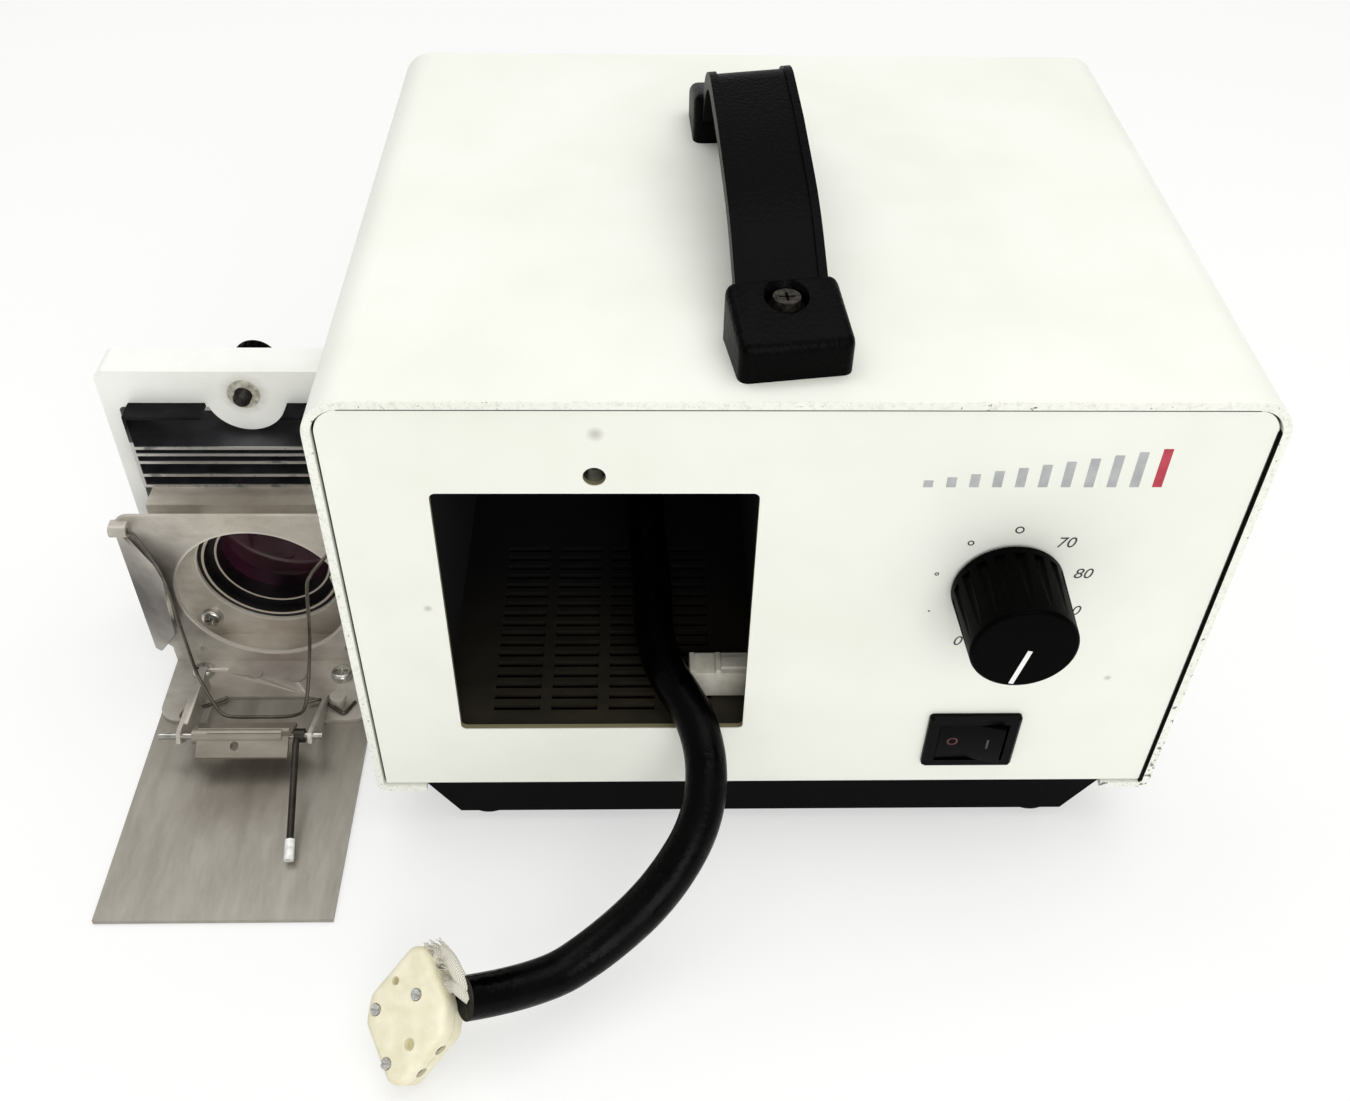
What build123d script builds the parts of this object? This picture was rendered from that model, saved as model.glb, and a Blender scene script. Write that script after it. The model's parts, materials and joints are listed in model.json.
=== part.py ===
from build123d import *
import math
import os

# Halogen light source for light guides, in millimetres.
# X runs along the front panel, Y away from the front, Z up. The bench is at Z = 0.
# Working origin: middle of the case front, on the bench.
# Each piece moves to the part's origin as it is written.

# Case
CASE_WIDTH = 215.0
CASE_DEPTH = 178.0
COVER_SHEET = 2.0
COVER_UPPER_RADIUS = 9.0
COVER_LOWER_RADIUS = 3.0
COVER_FOLD = 13.5
COVER_LIP = 0.8
COVER_SCREW_INSET = 30.0
FOOT_HEIGHT = 4.5
FOOT_RADIUS = 8.0
FOOT_INSET_X = 29.0
FOOT_INSET_Y = 11.0
PAN_DROP = 12.5
PAN_SHEET = 1.5
PAN_CHAMFER = 8.0
PANEL_SHEET = 1.6
PANEL_GAP = 0.6
REAR_RECESS = 4.4
PANEL_HEAD = 26.0

# Lamp bay
WINDOW_WIDTH = 74.6
WINDOW_HEIGHT = 82.1
WINDOW_X = -44.9
WINDOW_SILL = 25.5
BAY_SHEET = 1.5
BAY_SIDE_ROOM = 6.0
BAY_HEAD_ROOM = 12.0
BAY_DEPTH = 122.0
BAY_FLOOR_DROP = 0.5
SLOT_LENGTH = 12.5
SLOT_WIDTH = 2.0
SLOT_PITCH_X = 15.5
SLOT_PITCH_Y = 3.9
SLOT_COLUMNS = 4
SLOT_ROWS = 17
SLOT_START_Y = 7.0

# Lamp module, standing to the left of the case with its door to the rear
MODULE_GAP = 0.3
MODULE_FRONT_Y = -31.5
BASE_WIDTH = 64.1
BASE_SHEET = 1.5
DOOR_WIDTH = 83.2
DOOR_HEAD = 7.7
DOOR_DEPTH = 12.0
DOOR_SHEET = 1.2
DOOR_REACH = 119.5
DOOR_SIDE_LIP = 4.5
DOOR_TOP_LIP = 12.5
DOOR_TAB_RADIUS = 11.5
AXIS_HEIGHT = 31.5

# Thumb screw, and the holes that take it
LOCK_RISE = 4.9
SCREW_RADIUS = 2.5
SCREW_LENGTH = 16.5
SCREW_CLEARANCE = 0.1
THUMB_RADIUS = 9.0
THUMB_LENGTH = 6.0

# Lamp bracket
BRACKET_Y = 62.7
BRACKET_WIDTH = 75.0
BRACKET_HEAD = 6.5
BRACKET_SHEET = 1.2
BRACKET_HOLE = 25.5
BRACKET_CORNER = 5.0
FOOT_REACH = 26.0
FOOT_NECK = 16.5
FOOT_LEG_WIDTH = 15.0
SIDE_FLANGE_ANGLE = 32.0
NOTCH_BACK = 18.9
NOTCH_WIDTH = 2.8

# Light path behind the bracket
SHIELD_Y = 73.0
SHIELD_SHEET = 1.2
SHIELD_HEIGHT = 58.0
SHIELD_HOLE = 22.0
SHIELD_TOP_DEPTH = 10.0
FILTER_RADIUS = 21.0
FILTER_SHEET = 2.0
FILTER_SIGHT = 17.0
BLADE_SHARES = (0.256, 0.562, 0.744, 0.894)
PORT_BORE = 12.7
PORT_WALL = 3.3
PORT_FLANGE = 24.0
PORT_FLANGE_SHEET = 3.0
PORT_NOSE = 14.0

# Wires of the lamp bracket
BAIL_WIRE = 0.8
ROD_RADIUS = 1.0
ROD_Y = 23.5
ROD_Z = 11.5
EAR_BACK_Y = 50.0
EAR_BACK_Z = 12.3
LEVER_TIP_Y = -10.0
LEVER_TIP_Z = 4.6
LEVER_WIRE = 1.0
SPRING_WIRE = 0.5
RUNNING = 0.05

# Dial and switch
DIAL_INSET = 54.0
DIAL_Z = 95.7
KNOB_RADIUS = 13.5
KNOB_TAPER = 0.9
KNOB_LENGTH = 20.5
KNOB_STAND_OFF = 1.0
KNOB_FLUTES = 18
SHAFT_RADIUS = 3.0
POT_RADIUS = 12.0
POT_DEPTH = 10.0
BUSH_RADIUS = 4.7
POINTER_ANGLE = 167.0
POINTER_OFFSET = 1.4
ROCKER_INSET = 53.2
ROCKER_Z = 37.9
BEZEL_WIDTH = 24.6
BEZEL_HEIGHT = 20.5
BEZEL_PROUD = 1.8
BEZEL_WALL = 3.0
ROCKER_BODY_DEPTH = 20.0
ROCKER_TILT = 7.0
ROCKER_PIVOT_Y = 2.5

# Handle
HANDLE_X = -2.1
HANDLE_TURN = 2.6
FRONT_CAP_TWIST = 6.0
HANDLE_FRONT_Y = 7.3
HANDLE_SPAN = 131.7
CAP_WIDTH = 25.7
CAP_LENGTH = 20.0
CAP_FRONT_HEIGHT = 9.0
CAP_BACK_HEIGHT = 14.0
CAP_SCREW_INSET = 6.5
CAP_CORNER = 2.2
STRAP_WIDTH = 21.0
STRAP_SHEET = 4.2
STRAP_RIB = 2.0
STRAP_RIB_RISE = 0.7
STRAP_RISE = 21.8
STRAP_ROOM = 0.3
STRAP_PROFILE = [
    (0.03, 0.0), (0.116, 0.0), (0.31, 0.58), (0.552, 0.855),
    (0.78, 1.0), (0.862, 0.0), (0.97, 0.0),
]
STRAP_BENDS = [16.0, 80.0, 80.0, 16.0, 10.0]

# Supply parts inside the case
TRANSFORMER_WIDTH = 66.0
TRANSFORMER_DEPTH = 56.0
TRANSFORMER_HEIGHT = 56.0
TRANSFORMER_Y = 62.0
SPREADER_HEIGHT = 100.0
SPREADER_SHEET = 3.0
SPREADER_CLEAR = 14.0
BOARD_HEIGHT = 86.0
BOARD_SHEET = 1.6
BOARD_RISE = 6.0
STANDOFF_LENGTH = 8.0

# Fan and rear
FAN_SIZE = 80.0
FAN_DEPTH = 25.0
FAN_Z = 85.0
FAN_HOLE_PITCH = 71.5
FAN_BLADES = 7
GUARD_WIRE = 0.75
INLET_INSET = 49.5
INLET_Z = 42.0
INLET_WIDTH = 27.0
INLET_HEIGHT = 19.5

# Lamp lead and socket
LEAD_RADIUS = 5.4
GROMMET_X = -33.0
GROMMET_Z = 62.0
GROMMET_PROUD = 3.0
LEAD_POINTS = [
    (-33.0, 92.0, 62.0),
    (-33.5, 64.3, 59.8),
    (-31.2, 42.0, 57.0),
    (-31.2, 15.2, 54.6),
    (-18.0, -4.0, 47.7),
    (-17.5, -23.2, 36.8),
    (-28.8, -38.4, 25.3),
    (-44.6, -49.3, 16.4),
    (-59.9, -58.9, 14.4),
    (-75.2, -66.4, 19.4),
]
SOCKET_CENTRE = (-89.8, -65.5, 12.9)
SOCKET_TURNS = (32.3, -18.3, -19.9)
SOCKET_WIDTH = 22.8
SOCKET_LENGTH = 32.4
SOCKET_THICKNESS = 9.5
SOCKET_CORNER_X = 9.6
SOCKET_CORNER_Y = 12.8
SOCKET_SEAM = 0.2
WIRE_RADIUS = 1.2

# Levels and places that follow from the sizes above
COVER_HEIGHT = WINDOW_SILL + WINDOW_HEIGHT + PANEL_HEAD
COVER_BOTTOM = FOOT_HEIGHT + PAN_DROP
COVER_TOP = COVER_BOTTOM + COVER_HEIGHT
HALF_WIDTH = CASE_WIDTH / 2
PAN_HALF = HALF_WIDTH - COVER_FOLD
PAN_TOP = COVER_BOTTOM + COVER_SHEET + PAN_SHEET
PAN_FLOOR = FOOT_HEIGHT + PAN_SHEET
REAR_FACE = CASE_DEPTH - REAR_RECESS
REAR_INNER = REAR_FACE - PANEL_SHEET
WINDOW_BOTTOM = COVER_BOTTOM + WINDOW_SILL
WINDOW_TOP = WINDOW_BOTTOM + WINDOW_HEIGHT
BAY_FLOOR = WINDOW_BOTTOM - BAY_FLOOR_DROP
BAY_LEFT = WINDOW_X - WINDOW_WIDTH / 2 - BAY_SIDE_ROOM
BAY_RIGHT = WINDOW_X + WINDOW_WIDTH / 2 + BAY_SIDE_ROOM
BAY_TOP = WINDOW_TOP + BAY_HEAD_ROOM
SCREW_HEIGHT = WINDOW_HEIGHT + LOCK_RISE + BAY_FLOOR_DROP
LOCK_HOLE_Z = BAY_FLOOR + SCREW_HEIGHT
DOOR_HEIGHT = SCREW_HEIGHT + DOOR_HEAD
BRACKET_HEIGHT = AXIS_HEIGHT + BRACKET_HOLE + BRACKET_HEAD
DIAL_X = HALF_WIDTH - DIAL_INSET
ROCKER_X = HALF_WIDTH - ROCKER_INSET
INLET_X = HALF_WIDTH - INLET_INSET
MODULE_X = -HALF_WIDTH - MODULE_GAP - DOOR_WIDTH / 2
DOOR_LIP_Y = MODULE_FRONT_Y + DOOR_REACH
DOOR_FACE_Y = DOOR_LIP_Y + DOOR_DEPTH
DOOR_INNER_Y = DOOR_FACE_Y - DOOR_SHEET
PORT_OUTER = PORT_BORE + PORT_WALL
STRAP_LEVEL = COVER_TOP + 4.6
BAIL_Y = BRACKET_Y - BRACKET_SHEET - 2.2
BAIL_Z = BRACKET_HEIGHT - 3.4
POST_PLACE = (MODULE_X + 22.2, BRACKET_Y - 20.4)

# The part's origin: middle of its plan, on the bench
ORIGIN_X = (MODULE_X - DOOR_WIDTH / 2 + HALF_WIDTH) / 2
ORIGIN_Y = (MODULE_FRONT_Y + CASE_DEPTH) / 2


def block(x0, x1, y0, y1, z0, z1):
    centre = Pos((x0 + x1) / 2, (y0 + y1) / 2, (z0 + z1) / 2)
    return centre * Box(x1 - x0, y1 - y0, z1 - z0)


def rod_x(y, z, x0, x1, radius):
    return Pos((x0 + x1) / 2, y, z) * Rot(0, 90, 0) * Cylinder(radius, x1 - x0)


def rod_y(x, z, y0, y1, radius):
    return Pos(x, (y0 + y1) / 2, z) * Rot(90, 0, 0) * Cylinder(radius, y1 - y0)


def rod_z(x, y, z0, z1, radius):
    return Pos(x, y, (z0 + z1) / 2) * Cylinder(radius, z1 - z0)


# Extrudes an outline of (x, z) points from y0 to y1
def slab_y(points, y0, y1):
    face = make_face(Polyline([(x, y0, z) for x, z in points], close=True))
    return extrude(face, y1 - y0, dir=(0, 1, 0))


# Extrudes an outline of (y, z) points from x0 to x1
def slab_x(points, x0, x1):
    face = make_face(Polyline([(x0, y, z) for y, z in points], close=True))
    return extrude(face, x1 - x0, dir=(1, 0, 0))


# Extrudes an outline of (x, y) points from z0 to z1
def slab_z(points, z0, z1):
    face = make_face(Polyline([(x, y, z0) for x, y in points], close=True))
    return extrude(face, z1 - z0, dir=(0, 0, 1))


# Round wire along straight runs joined by arcs
def wire(points, bend, radius):
    path = FilletPolyline(points, radius=bend)
    start = Plane(origin=path @ 0, z_dir=path % 0)
    return sweep(start * Circle(radius), path=path)


def joined(pieces):
    whole = pieces[0]
    for piece in pieces[1:]:
        whole = whole + piece
    return whole


def without(solid, cuts):
    for cut in cuts:
        solid = solid - cut
    return solid


def write(name, shape):
    placed = Pos(-ORIGIN_X, -ORIGIN_Y, 0) * shape
    placed.label = name
    export_step(placed, f"parts/{name}.step")


# Case shells

def rounded_shell(inset, y0, y1):
    width = CASE_WIDTH - 2 * inset
    height = COVER_HEIGHT - 2 * inset
    body = Pos(0, (y0 + y1) / 2, COVER_BOTTOM + COVER_HEIGHT / 2) * Box(width, y1 - y0, height)
    upper = body.edges().filter_by(Axis.Y).sort_by(Axis.Z)[-2:]
    body = fillet(upper, COVER_UPPER_RADIUS - inset)
    lower = body.edges().filter_by(Axis.Y).sort_by(Axis.Z)[:2]
    return fillet(lower, COVER_LOWER_RADIUS - inset)


def handle_screw_places():
    inner = CAP_LENGTH - CAP_SCREW_INSET
    return [HANDLE_FRONT_Y + inner, HANDLE_FRONT_Y + HANDLE_SPAN - inner]


# The handle sits slightly askew on the case, so its pieces are made straight and turned about its front end
def on_handle(shape):
    return Pos(HANDLE_X, HANDLE_FRONT_Y, 0) * Rot(0, 0, HANDLE_TURN) * Pos(0, -HANDLE_FRONT_Y, 0) * shape


def cover_screw_places():
    x = HALF_WIDTH - COVER_FOLD / 2 - COVER_SHEET / 2
    rows = (COVER_SCREW_INSET, CASE_DEPTH - COVER_SCREW_INSET)
    return [(sx * x, y) for sx in (-1, 1) for y in rows]


def wrap_cover():
    shell = rounded_shell(0.0, -COVER_LIP, CASE_DEPTH)
    shell = shell - rounded_shell(COVER_SHEET, -COVER_LIP - 1, CASE_DEPTH + 1)
    opening = block(
        -PAN_HALF, PAN_HALF, -COVER_LIP - 1, CASE_DEPTH + 1,
        COVER_BOTTOM - 1, COVER_BOTTOM + COVER_SHEET + 1,
    )
    shell = shell - opening
    sheet_bottom = COVER_TOP - COVER_SHEET
    holes = [on_handle(rod_z(0, y, sheet_bottom - 1, COVER_TOP + 1, 2.2)) for y in handle_screw_places()]
    holes += [
        rod_z(x, y, COVER_BOTTOM - 1, COVER_BOTTOM + COVER_SHEET + 1, 1.8) for x, y in cover_screw_places()
    ]
    return without(shell, holes)


def front_panel():
    inset = COVER_SHEET + PANEL_GAP
    panel = rounded_shell(inset, 0, PANEL_SHEET)
    window = block(
        WINDOW_X - WINDOW_WIDTH / 2, WINDOW_X + WINDOW_WIDTH / 2, -1,
        PANEL_SHEET + 1, WINDOW_BOTTOM, WINDOW_TOP,
    )
    window = fillet(window.edges().filter_by(Axis.Y), 1.5)
    lock_hole = rod_y(WINDOW_X, LOCK_HOLE_Z, -1, PANEL_SHEET + 1, SCREW_RADIUS + SCREW_CLEARANCE)
    dial_hole = rod_y(DIAL_X, DIAL_Z, -1, PANEL_SHEET + 1, BUSH_RADIUS + RUNNING)
    half_w = BEZEL_WIDTH / 2 - BEZEL_WALL / 2 + RUNNING
    half_h = BEZEL_HEIGHT / 2 - BEZEL_WALL / 2 + RUNNING
    rocker_hole = block(
        ROCKER_X - half_w, ROCKER_X + half_w, -1, PANEL_SHEET + 1, ROCKER_Z - half_h, ROCKER_Z + half_h,
    )
    return without(panel, [window, lock_hole, dial_hole, rocker_hole])


def pan_outline(inset):
    top = PAN_HALF - RUNNING - inset
    bottom = top - PAN_CHAMFER
    floor = FOOT_HEIGHT + inset
    return [
        (-top, PAN_TOP), (-top, COVER_BOTTOM), (-bottom, floor),
        (bottom, floor), (top, COVER_BOTTOM), (top, PAN_TOP),
    ]


def foot_places():
    x = HALF_WIDTH - FOOT_INSET_X
    return [(sx * x, y) for sx in (-1, 1) for y in (FOOT_INSET_Y, CASE_DEPTH - FOOT_INSET_Y)]


def chassis_pan():
    y0 = PANEL_SHEET
    y1 = REAR_INNER
    tray = slab_y(pan_outline(0.0), y0, y1)
    hollow = slab_y(pan_outline(PAN_SHEET), y0 + PAN_SHEET, y1 - PAN_SHEET)
    wing_x = HALF_WIDTH - COVER_SHEET - COVER_LOWER_RADIUS
    wings = block(-wing_x, wing_x, y0, y1, COVER_BOTTOM + COVER_SHEET, PAN_TOP)
    well_x = PAN_HALF - RUNNING - PAN_SHEET
    well = block(-well_x, well_x, y0 + PAN_SHEET, y1 - PAN_SHEET, COVER_BOTTOM, PAN_TOP + 1)
    pan = tray - hollow + wings - well
    foot_holes = [rod_z(x, y, FOOT_HEIGHT - 1, PAN_FLOOR + 1, 2.5) for x, y in foot_places()]
    screw_holes = [rod_z(x, y, PAN_TOP - PAN_SHEET - 1, PAN_TOP + 1, 1.5) for x, y in cover_screw_places()]
    vents = []
    for column in range(4):
        for row in range(7):
            x = BAY_RIGHT + 4.0 + 20.0 * column
            y = 45.0 + 14.0 * row
            vents.append(block(x, x + 15.0, y, y + 5.0, FOOT_HEIGHT - 1, PAN_FLOOR + 1))
    return without(pan, foot_holes + screw_holes + vents)


def rubber_feet():
    feet = []
    for x, y in foot_places():
        dome = rod_z(x, y, 0, FOOT_HEIGHT, FOOT_RADIUS)
        dome = fillet(dome.edges().sort_by(Axis.Z)[0], FOOT_HEIGHT * 0.6)
        stem = rod_z(x, y, FOOT_HEIGHT - 0.5, PAN_FLOOR + 0.4, 2.4)
        head = rod_z(x, y, PAN_FLOOR + 0.1, PAN_FLOOR + 1.6, 3.2)
        feet.append(dome + stem + head)
    return Compound(feet)


def cover_screws():
    screws = []
    for x, y in cover_screw_places():
        head = rod_z(x, y, COVER_BOTTOM - 1.8, COVER_BOTTOM, 3.0)
        slot = block(x - 2.2, x + 2.2, y - 0.35, y + 0.35, COVER_BOTTOM - 2.8, COVER_BOTTOM - 1.1)
        shank = rod_z(x, y, COVER_BOTTOM - 0.5, PAN_TOP + 3.0, 1.45)
        screws.append(head - slot + shank)
    return Compound(screws)


def rear_panel():
    inset = COVER_SHEET + PANEL_GAP
    panel = rounded_shell(inset, REAR_INNER, REAR_FACE)
    duct = rod_y(WINDOW_X, FAN_Z, REAR_INNER - 1, REAR_FACE + 1, FAN_SIZE / 2 - 2)
    holes = [rod_y(x, z, REAR_INNER - 1, REAR_FACE + 1, 2.0) for x, z in fan_screw_places()]
    half_w = INLET_WIDTH / 2 + RUNNING
    half_h = INLET_HEIGHT / 2 + RUNNING
    inlet = block(
        INLET_X - half_w, INLET_X + half_w, REAR_INNER - 1,
        REAR_FACE + 1, INLET_Z - half_h, INLET_Z + half_h,
    )
    ears = [rod_y(INLET_X + s * 20.0, INLET_Z, REAR_INNER - 1, REAR_FACE + 1, 1.6) for s in (-1, 1)]
    return without(panel, [duct, inlet] + holes + ears)


# Lamp bay

def lamp_bay_floor():
    x0 = BAY_LEFT + BAY_SHEET
    x1 = BAY_RIGHT - BAY_SHEET
    floor = block(x0, x1, PANEL_SHEET, BAY_DEPTH, BAY_FLOOR - BAY_SHEET, BAY_FLOOR)
    first = WINDOW_X - SLOT_PITCH_X * (SLOT_COLUMNS - 1) / 2
    slots = []
    for column in range(SLOT_COLUMNS):
        for row in range(SLOT_ROWS):
            x = first + SLOT_PITCH_X * column
            y = SLOT_START_Y + SLOT_PITCH_Y * row
            half = SLOT_LENGTH / 2
            slots.append(block(x - half, x + half, y, y + SLOT_WIDTH, BAY_FLOOR - 3, BAY_FLOOR + 1))
    return without(floor, slots)


def lamp_bay_walls():
    outer = block(BAY_LEFT, BAY_RIGHT, PANEL_SHEET, BAY_DEPTH + BAY_SHEET, PAN_TOP, BAY_TOP)
    inner = block(
        BAY_LEFT + BAY_SHEET, BAY_RIGHT - BAY_SHEET, PANEL_SHEET - 1, BAY_DEPTH, PAN_TOP - 1, BAY_TOP + 1,
    )
    walls = outer - inner
    legs = block(
        BAY_RIGHT - BAY_SHEET, BAY_RIGHT, PANEL_SHEET + PAN_SHEET + 2,
        BAY_DEPTH + BAY_SHEET, PAN_FLOOR, PAN_TOP + 1,
    )
    walls = walls + legs
    cuts = [rod_y(GROMMET_X, GROMMET_Z, BAY_DEPTH - 1, BAY_DEPTH + BAY_SHEET + 1, LEAD_RADIUS + 1.5)]
    for column in range(6):
        for row in range(5):
            x = WINDOW_X - 30.0 + 12.0 * column
            z = BAY_FLOOR + 33.0 + 11.0 * row
            cuts.append(rod_y(x, z, BAY_DEPTH - 1, BAY_DEPTH + BAY_SHEET + 1, 4.0))
    plug = connector_box()
    cuts.append(block(BAY_RIGHT - BAY_SHEET - 1, BAY_RIGHT + 1, plug[2], plug[3], plug[4], plug[5]))
    return without(walls, cuts)


# Limits of the nylon connector that stands in the bay's right wall
def connector_box():
    return BAY_RIGHT - 20.0, BAY_RIGHT + 8.0, 11.2, 19.2, BAY_FLOOR + 0.5, BAY_FLOOR + 9.5


def lamp_connector():
    x0, x1, y0, y1, z0, z1 = connector_box()
    body = block(x0, x1, y0 + RUNNING, y1 - RUNNING, z0 + RUNNING, z1 - RUNNING)
    flange = block(
        BAY_RIGHT - BAY_SHEET - 1.2, BAY_RIGHT - BAY_SHEET, y0 - 1.5, y1 + 1.5, z0 - 0.5, z1 + 1.5,
    )
    ribs = [block(x0 + dx, x0 + dx + 1.5, y0 + RUNNING, y1 - 1, z1 - 0.5, z1 + 1.2) for dx in (0.0, 7.0)]
    latch = block(x0 + 8.5, BAY_RIGHT - BAY_SHEET - 1, y0 + 2.0, y0 + 6.0, z1 - 0.5, z1 + 0.6)
    sockets = [
        block(x0 - 1, x0 + 9, y0 + 1.2 + 3.2 * k, y0 + 3.6 + 3.2 * k, z0 + 2, z1 - 2.5) for k in range(2)
    ]
    return without(joined([body, flange, latch] + ribs), sockets)


def lead_grommet():
    flange = rod_y(GROMMET_X, GROMMET_Z, BAY_DEPTH - GROMMET_PROUD, BAY_DEPTH, LEAD_RADIUS + 3.5)
    neck = rod_y(GROMMET_X, GROMMET_Z, BAY_DEPTH - 0.5, BAY_DEPTH + BAY_SHEET + 0.5, LEAD_RADIUS + 1.4)
    back = rod_y(GROMMET_X, GROMMET_Z, BAY_DEPTH + BAY_SHEET, BAY_DEPTH + BAY_SHEET + 2, LEAD_RADIUS + 3.0)
    return flange + neck + back


def interlock_switch():
    z0 = LOCK_HOLE_Z + 5.2
    body = block(WINDOW_X - 10, WINDOW_X + 10, PANEL_SHEET, PANEL_SHEET + 6.5, z0, z0 + 10.0)
    button = rod_z(WINDOW_X + 2, PANEL_SHEET + 3.3, z0 - 1.0, z0 + 0.5, 1.2)
    y0 = PANEL_SHEET + 1.7
    tabs = [block(x, x + 0.8, y0, y0 + 3.2, z0 + 9.5, z0 + 13.0) for x in (WINDOW_X - 8.5, WINDOW_X + 7.7)]
    tabs.append(block(WINDOW_X - 0.4, WINDOW_X + 0.4, y0, y0 + 3.2, z0 + 9.5, z0 + 13.0))
    return joined([body, button] + tabs)


def clinch_nut():
    ring = rod_y(WINDOW_X, LOCK_HOLE_Z, PANEL_SHEET, PANEL_SHEET + 4.0, 3.9)
    return ring - rod_y(
        WINDOW_X, LOCK_HOLE_Z, PANEL_SHEET - 1, PANEL_SHEET + 5.0, SCREW_RADIUS + SCREW_CLEARANCE,
    )


# Supply parts inside the case

def transformer_box():
    x0 = BAY_RIGHT + 8.0
    y0 = TRANSFORMER_Y
    return (
        x0, x0 + TRANSFORMER_WIDTH, y0, y0 + TRANSFORMER_DEPTH,
        PAN_FLOOR, PAN_FLOOR + TRANSFORMER_HEIGHT,
    )


def transformer_core():
    x0, x1, y0, y1, z0, z1 = transformer_box()
    core = block(x0, x1, y0 + 12, y1 - 12, z0, z1)
    limb = (x1 - x0) / 6
    windows = [block(x0 + limb, x0 + 2 * limb, y0, y1, z0 + limb, z1 - limb)]
    windows.append(block(x1 - 2 * limb, x1 - limb, y0, y1, z0 + limb, z1 - limb))
    return without(core, windows)


def transformer_winding():
    x0, x1, y0, y1, z0, z1 = transformer_box()
    limb = (x1 - x0) / 6
    gap = 0.1
    coil = block(x0 + limb + gap, x1 - limb - gap, y0, y1, z0 + limb + gap, z1 - limb - gap)
    coil = fillet(coil.edges().filter_by(Axis.Z), 6)
    centre = block(x0 + 2 * limb - gap, x1 - 2 * limb + gap, y0 + 12 - gap, y1 - 12 + gap, z0, z1)
    return coil - centre


def spreader_x():
    return HALF_WIDTH - COVER_SHEET - COVER_LOWER_RADIUS - 4.0


# The spreader stands between the cover's front and rear screws
def spreader_ends():
    start = COVER_SCREW_INSET + SPREADER_CLEAR
    return start, CASE_DEPTH - COVER_SCREW_INSET - SPREADER_CLEAR + 6.0


def heat_spreader():
    x1 = spreader_x()
    x0 = x1 - SPREADER_SHEET
    y0, y1 = spreader_ends()
    plate = block(x0, x1, y0, y1, PAN_TOP, PAN_TOP + SPREADER_HEIGHT)
    foot = block(x0, x1 + 3.5, y0, y1, PAN_TOP, PAN_TOP + SPREADER_SHEET)
    return plate + foot


def board_box():
    x1 = spreader_x() - SPREADER_SHEET - STANDOFF_LENGTH
    y0, y1 = spreader_ends()
    z0 = PAN_TOP + BOARD_RISE
    return x1 - BOARD_SHEET, x1, y0 + 2.0, y1 - 2.0, z0, z0 + BOARD_HEIGHT


def psu_board():
    x0, x1, y0, y1, z0, z1 = board_box()
    holes = [rod_x(y, z, x0 - 1, x1 + 1, 1.6) for y, z in standoff_places()]
    return without(block(x0, x1, y0, y1, z0, z1), holes)


def standoff_places():
    x0, x1, y0, y1, z0, z1 = board_box()
    return [(y, z) for y in (y0 + 5, y1 - 5) for z in (z0 + 5, z1 - 5)]


def board_standoffs():
    x0, x1, y0, y1, z0, z1 = board_box()
    posts = []
    for y, z in standoff_places():
        post = rod_x(y, z, x1, spreader_x() - SPREADER_SHEET, 3.0)
        tip = rod_x(y, z, x0 - 1.0, x1 + 1, 1.5)
        nut = rod_x(y, z, x0 - 2.5, x0, 2.8)
        posts.append(post + tip + nut)
    return Compound(posts)


def capacitors():
    x0, x1, y0, y1, z0, z1 = board_box()
    cans = [rod_x(y, z1 - 20, x0 - 30.0, x0, 9.0) for y in (y0 + 22, y0 + 46)]
    cans.append(rod_x(y0 + 72, z1 - 18, x0 - 16.0, x0, 6.3))
    return Compound(cans)


def power_transistors():
    x0, x1, y0, y1, z0, z1 = board_box()
    plate = spreader_x() - SPREADER_SHEET
    cases = []
    for y in (y0 + 22, y0 + 46, y0 + 70):
        case = block(plate - 4.6, plate, y, y + 10.2, z1 - 24.0, z1 - 9.0)
        tab = block(plate - 1.3, plate, y, y + 10.2, z1 - 9.5, z1 - 3.0)
        cases.append(case + tab)
    return Compound(cases)


# Dial

def potentiometer():
    body = rod_y(DIAL_X, DIAL_Z, PANEL_SHEET, PANEL_SHEET + POT_DEPTH, POT_RADIUS)
    bush = rod_y(DIAL_X, DIAL_Z, -3.6, PANEL_SHEET + 1, BUSH_RADIUS)
    bore = rod_y(DIAL_X, DIAL_Z, -5, PANEL_SHEET + POT_DEPTH - 2, SHAFT_RADIUS + RUNNING)
    lugs = block(
        DIAL_X - 7, DIAL_X + 7, PANEL_SHEET + 3, PANEL_SHEET + 4,
        DIAL_Z - POT_RADIUS - 7, DIAL_Z - POT_RADIUS + 3,
    )
    return body + bush + lugs - bore


def dial_nut():
    hexagon = extrude(Plane(origin=(DIAL_X, 0, DIAL_Z), z_dir=(0, -1, 0)) * RegularPolygon(6.6, 6), 2.2)
    return hexagon - rod_y(DIAL_X, DIAL_Z, -4, 1, BUSH_RADIUS + RUNNING)


def dial_shaft():
    back = PANEL_SHEET + POT_DEPTH - 2.4
    return rod_y(DIAL_X, DIAL_Z, -KNOB_STAND_OFF - 16.0, back, SHAFT_RADIUS)


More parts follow.
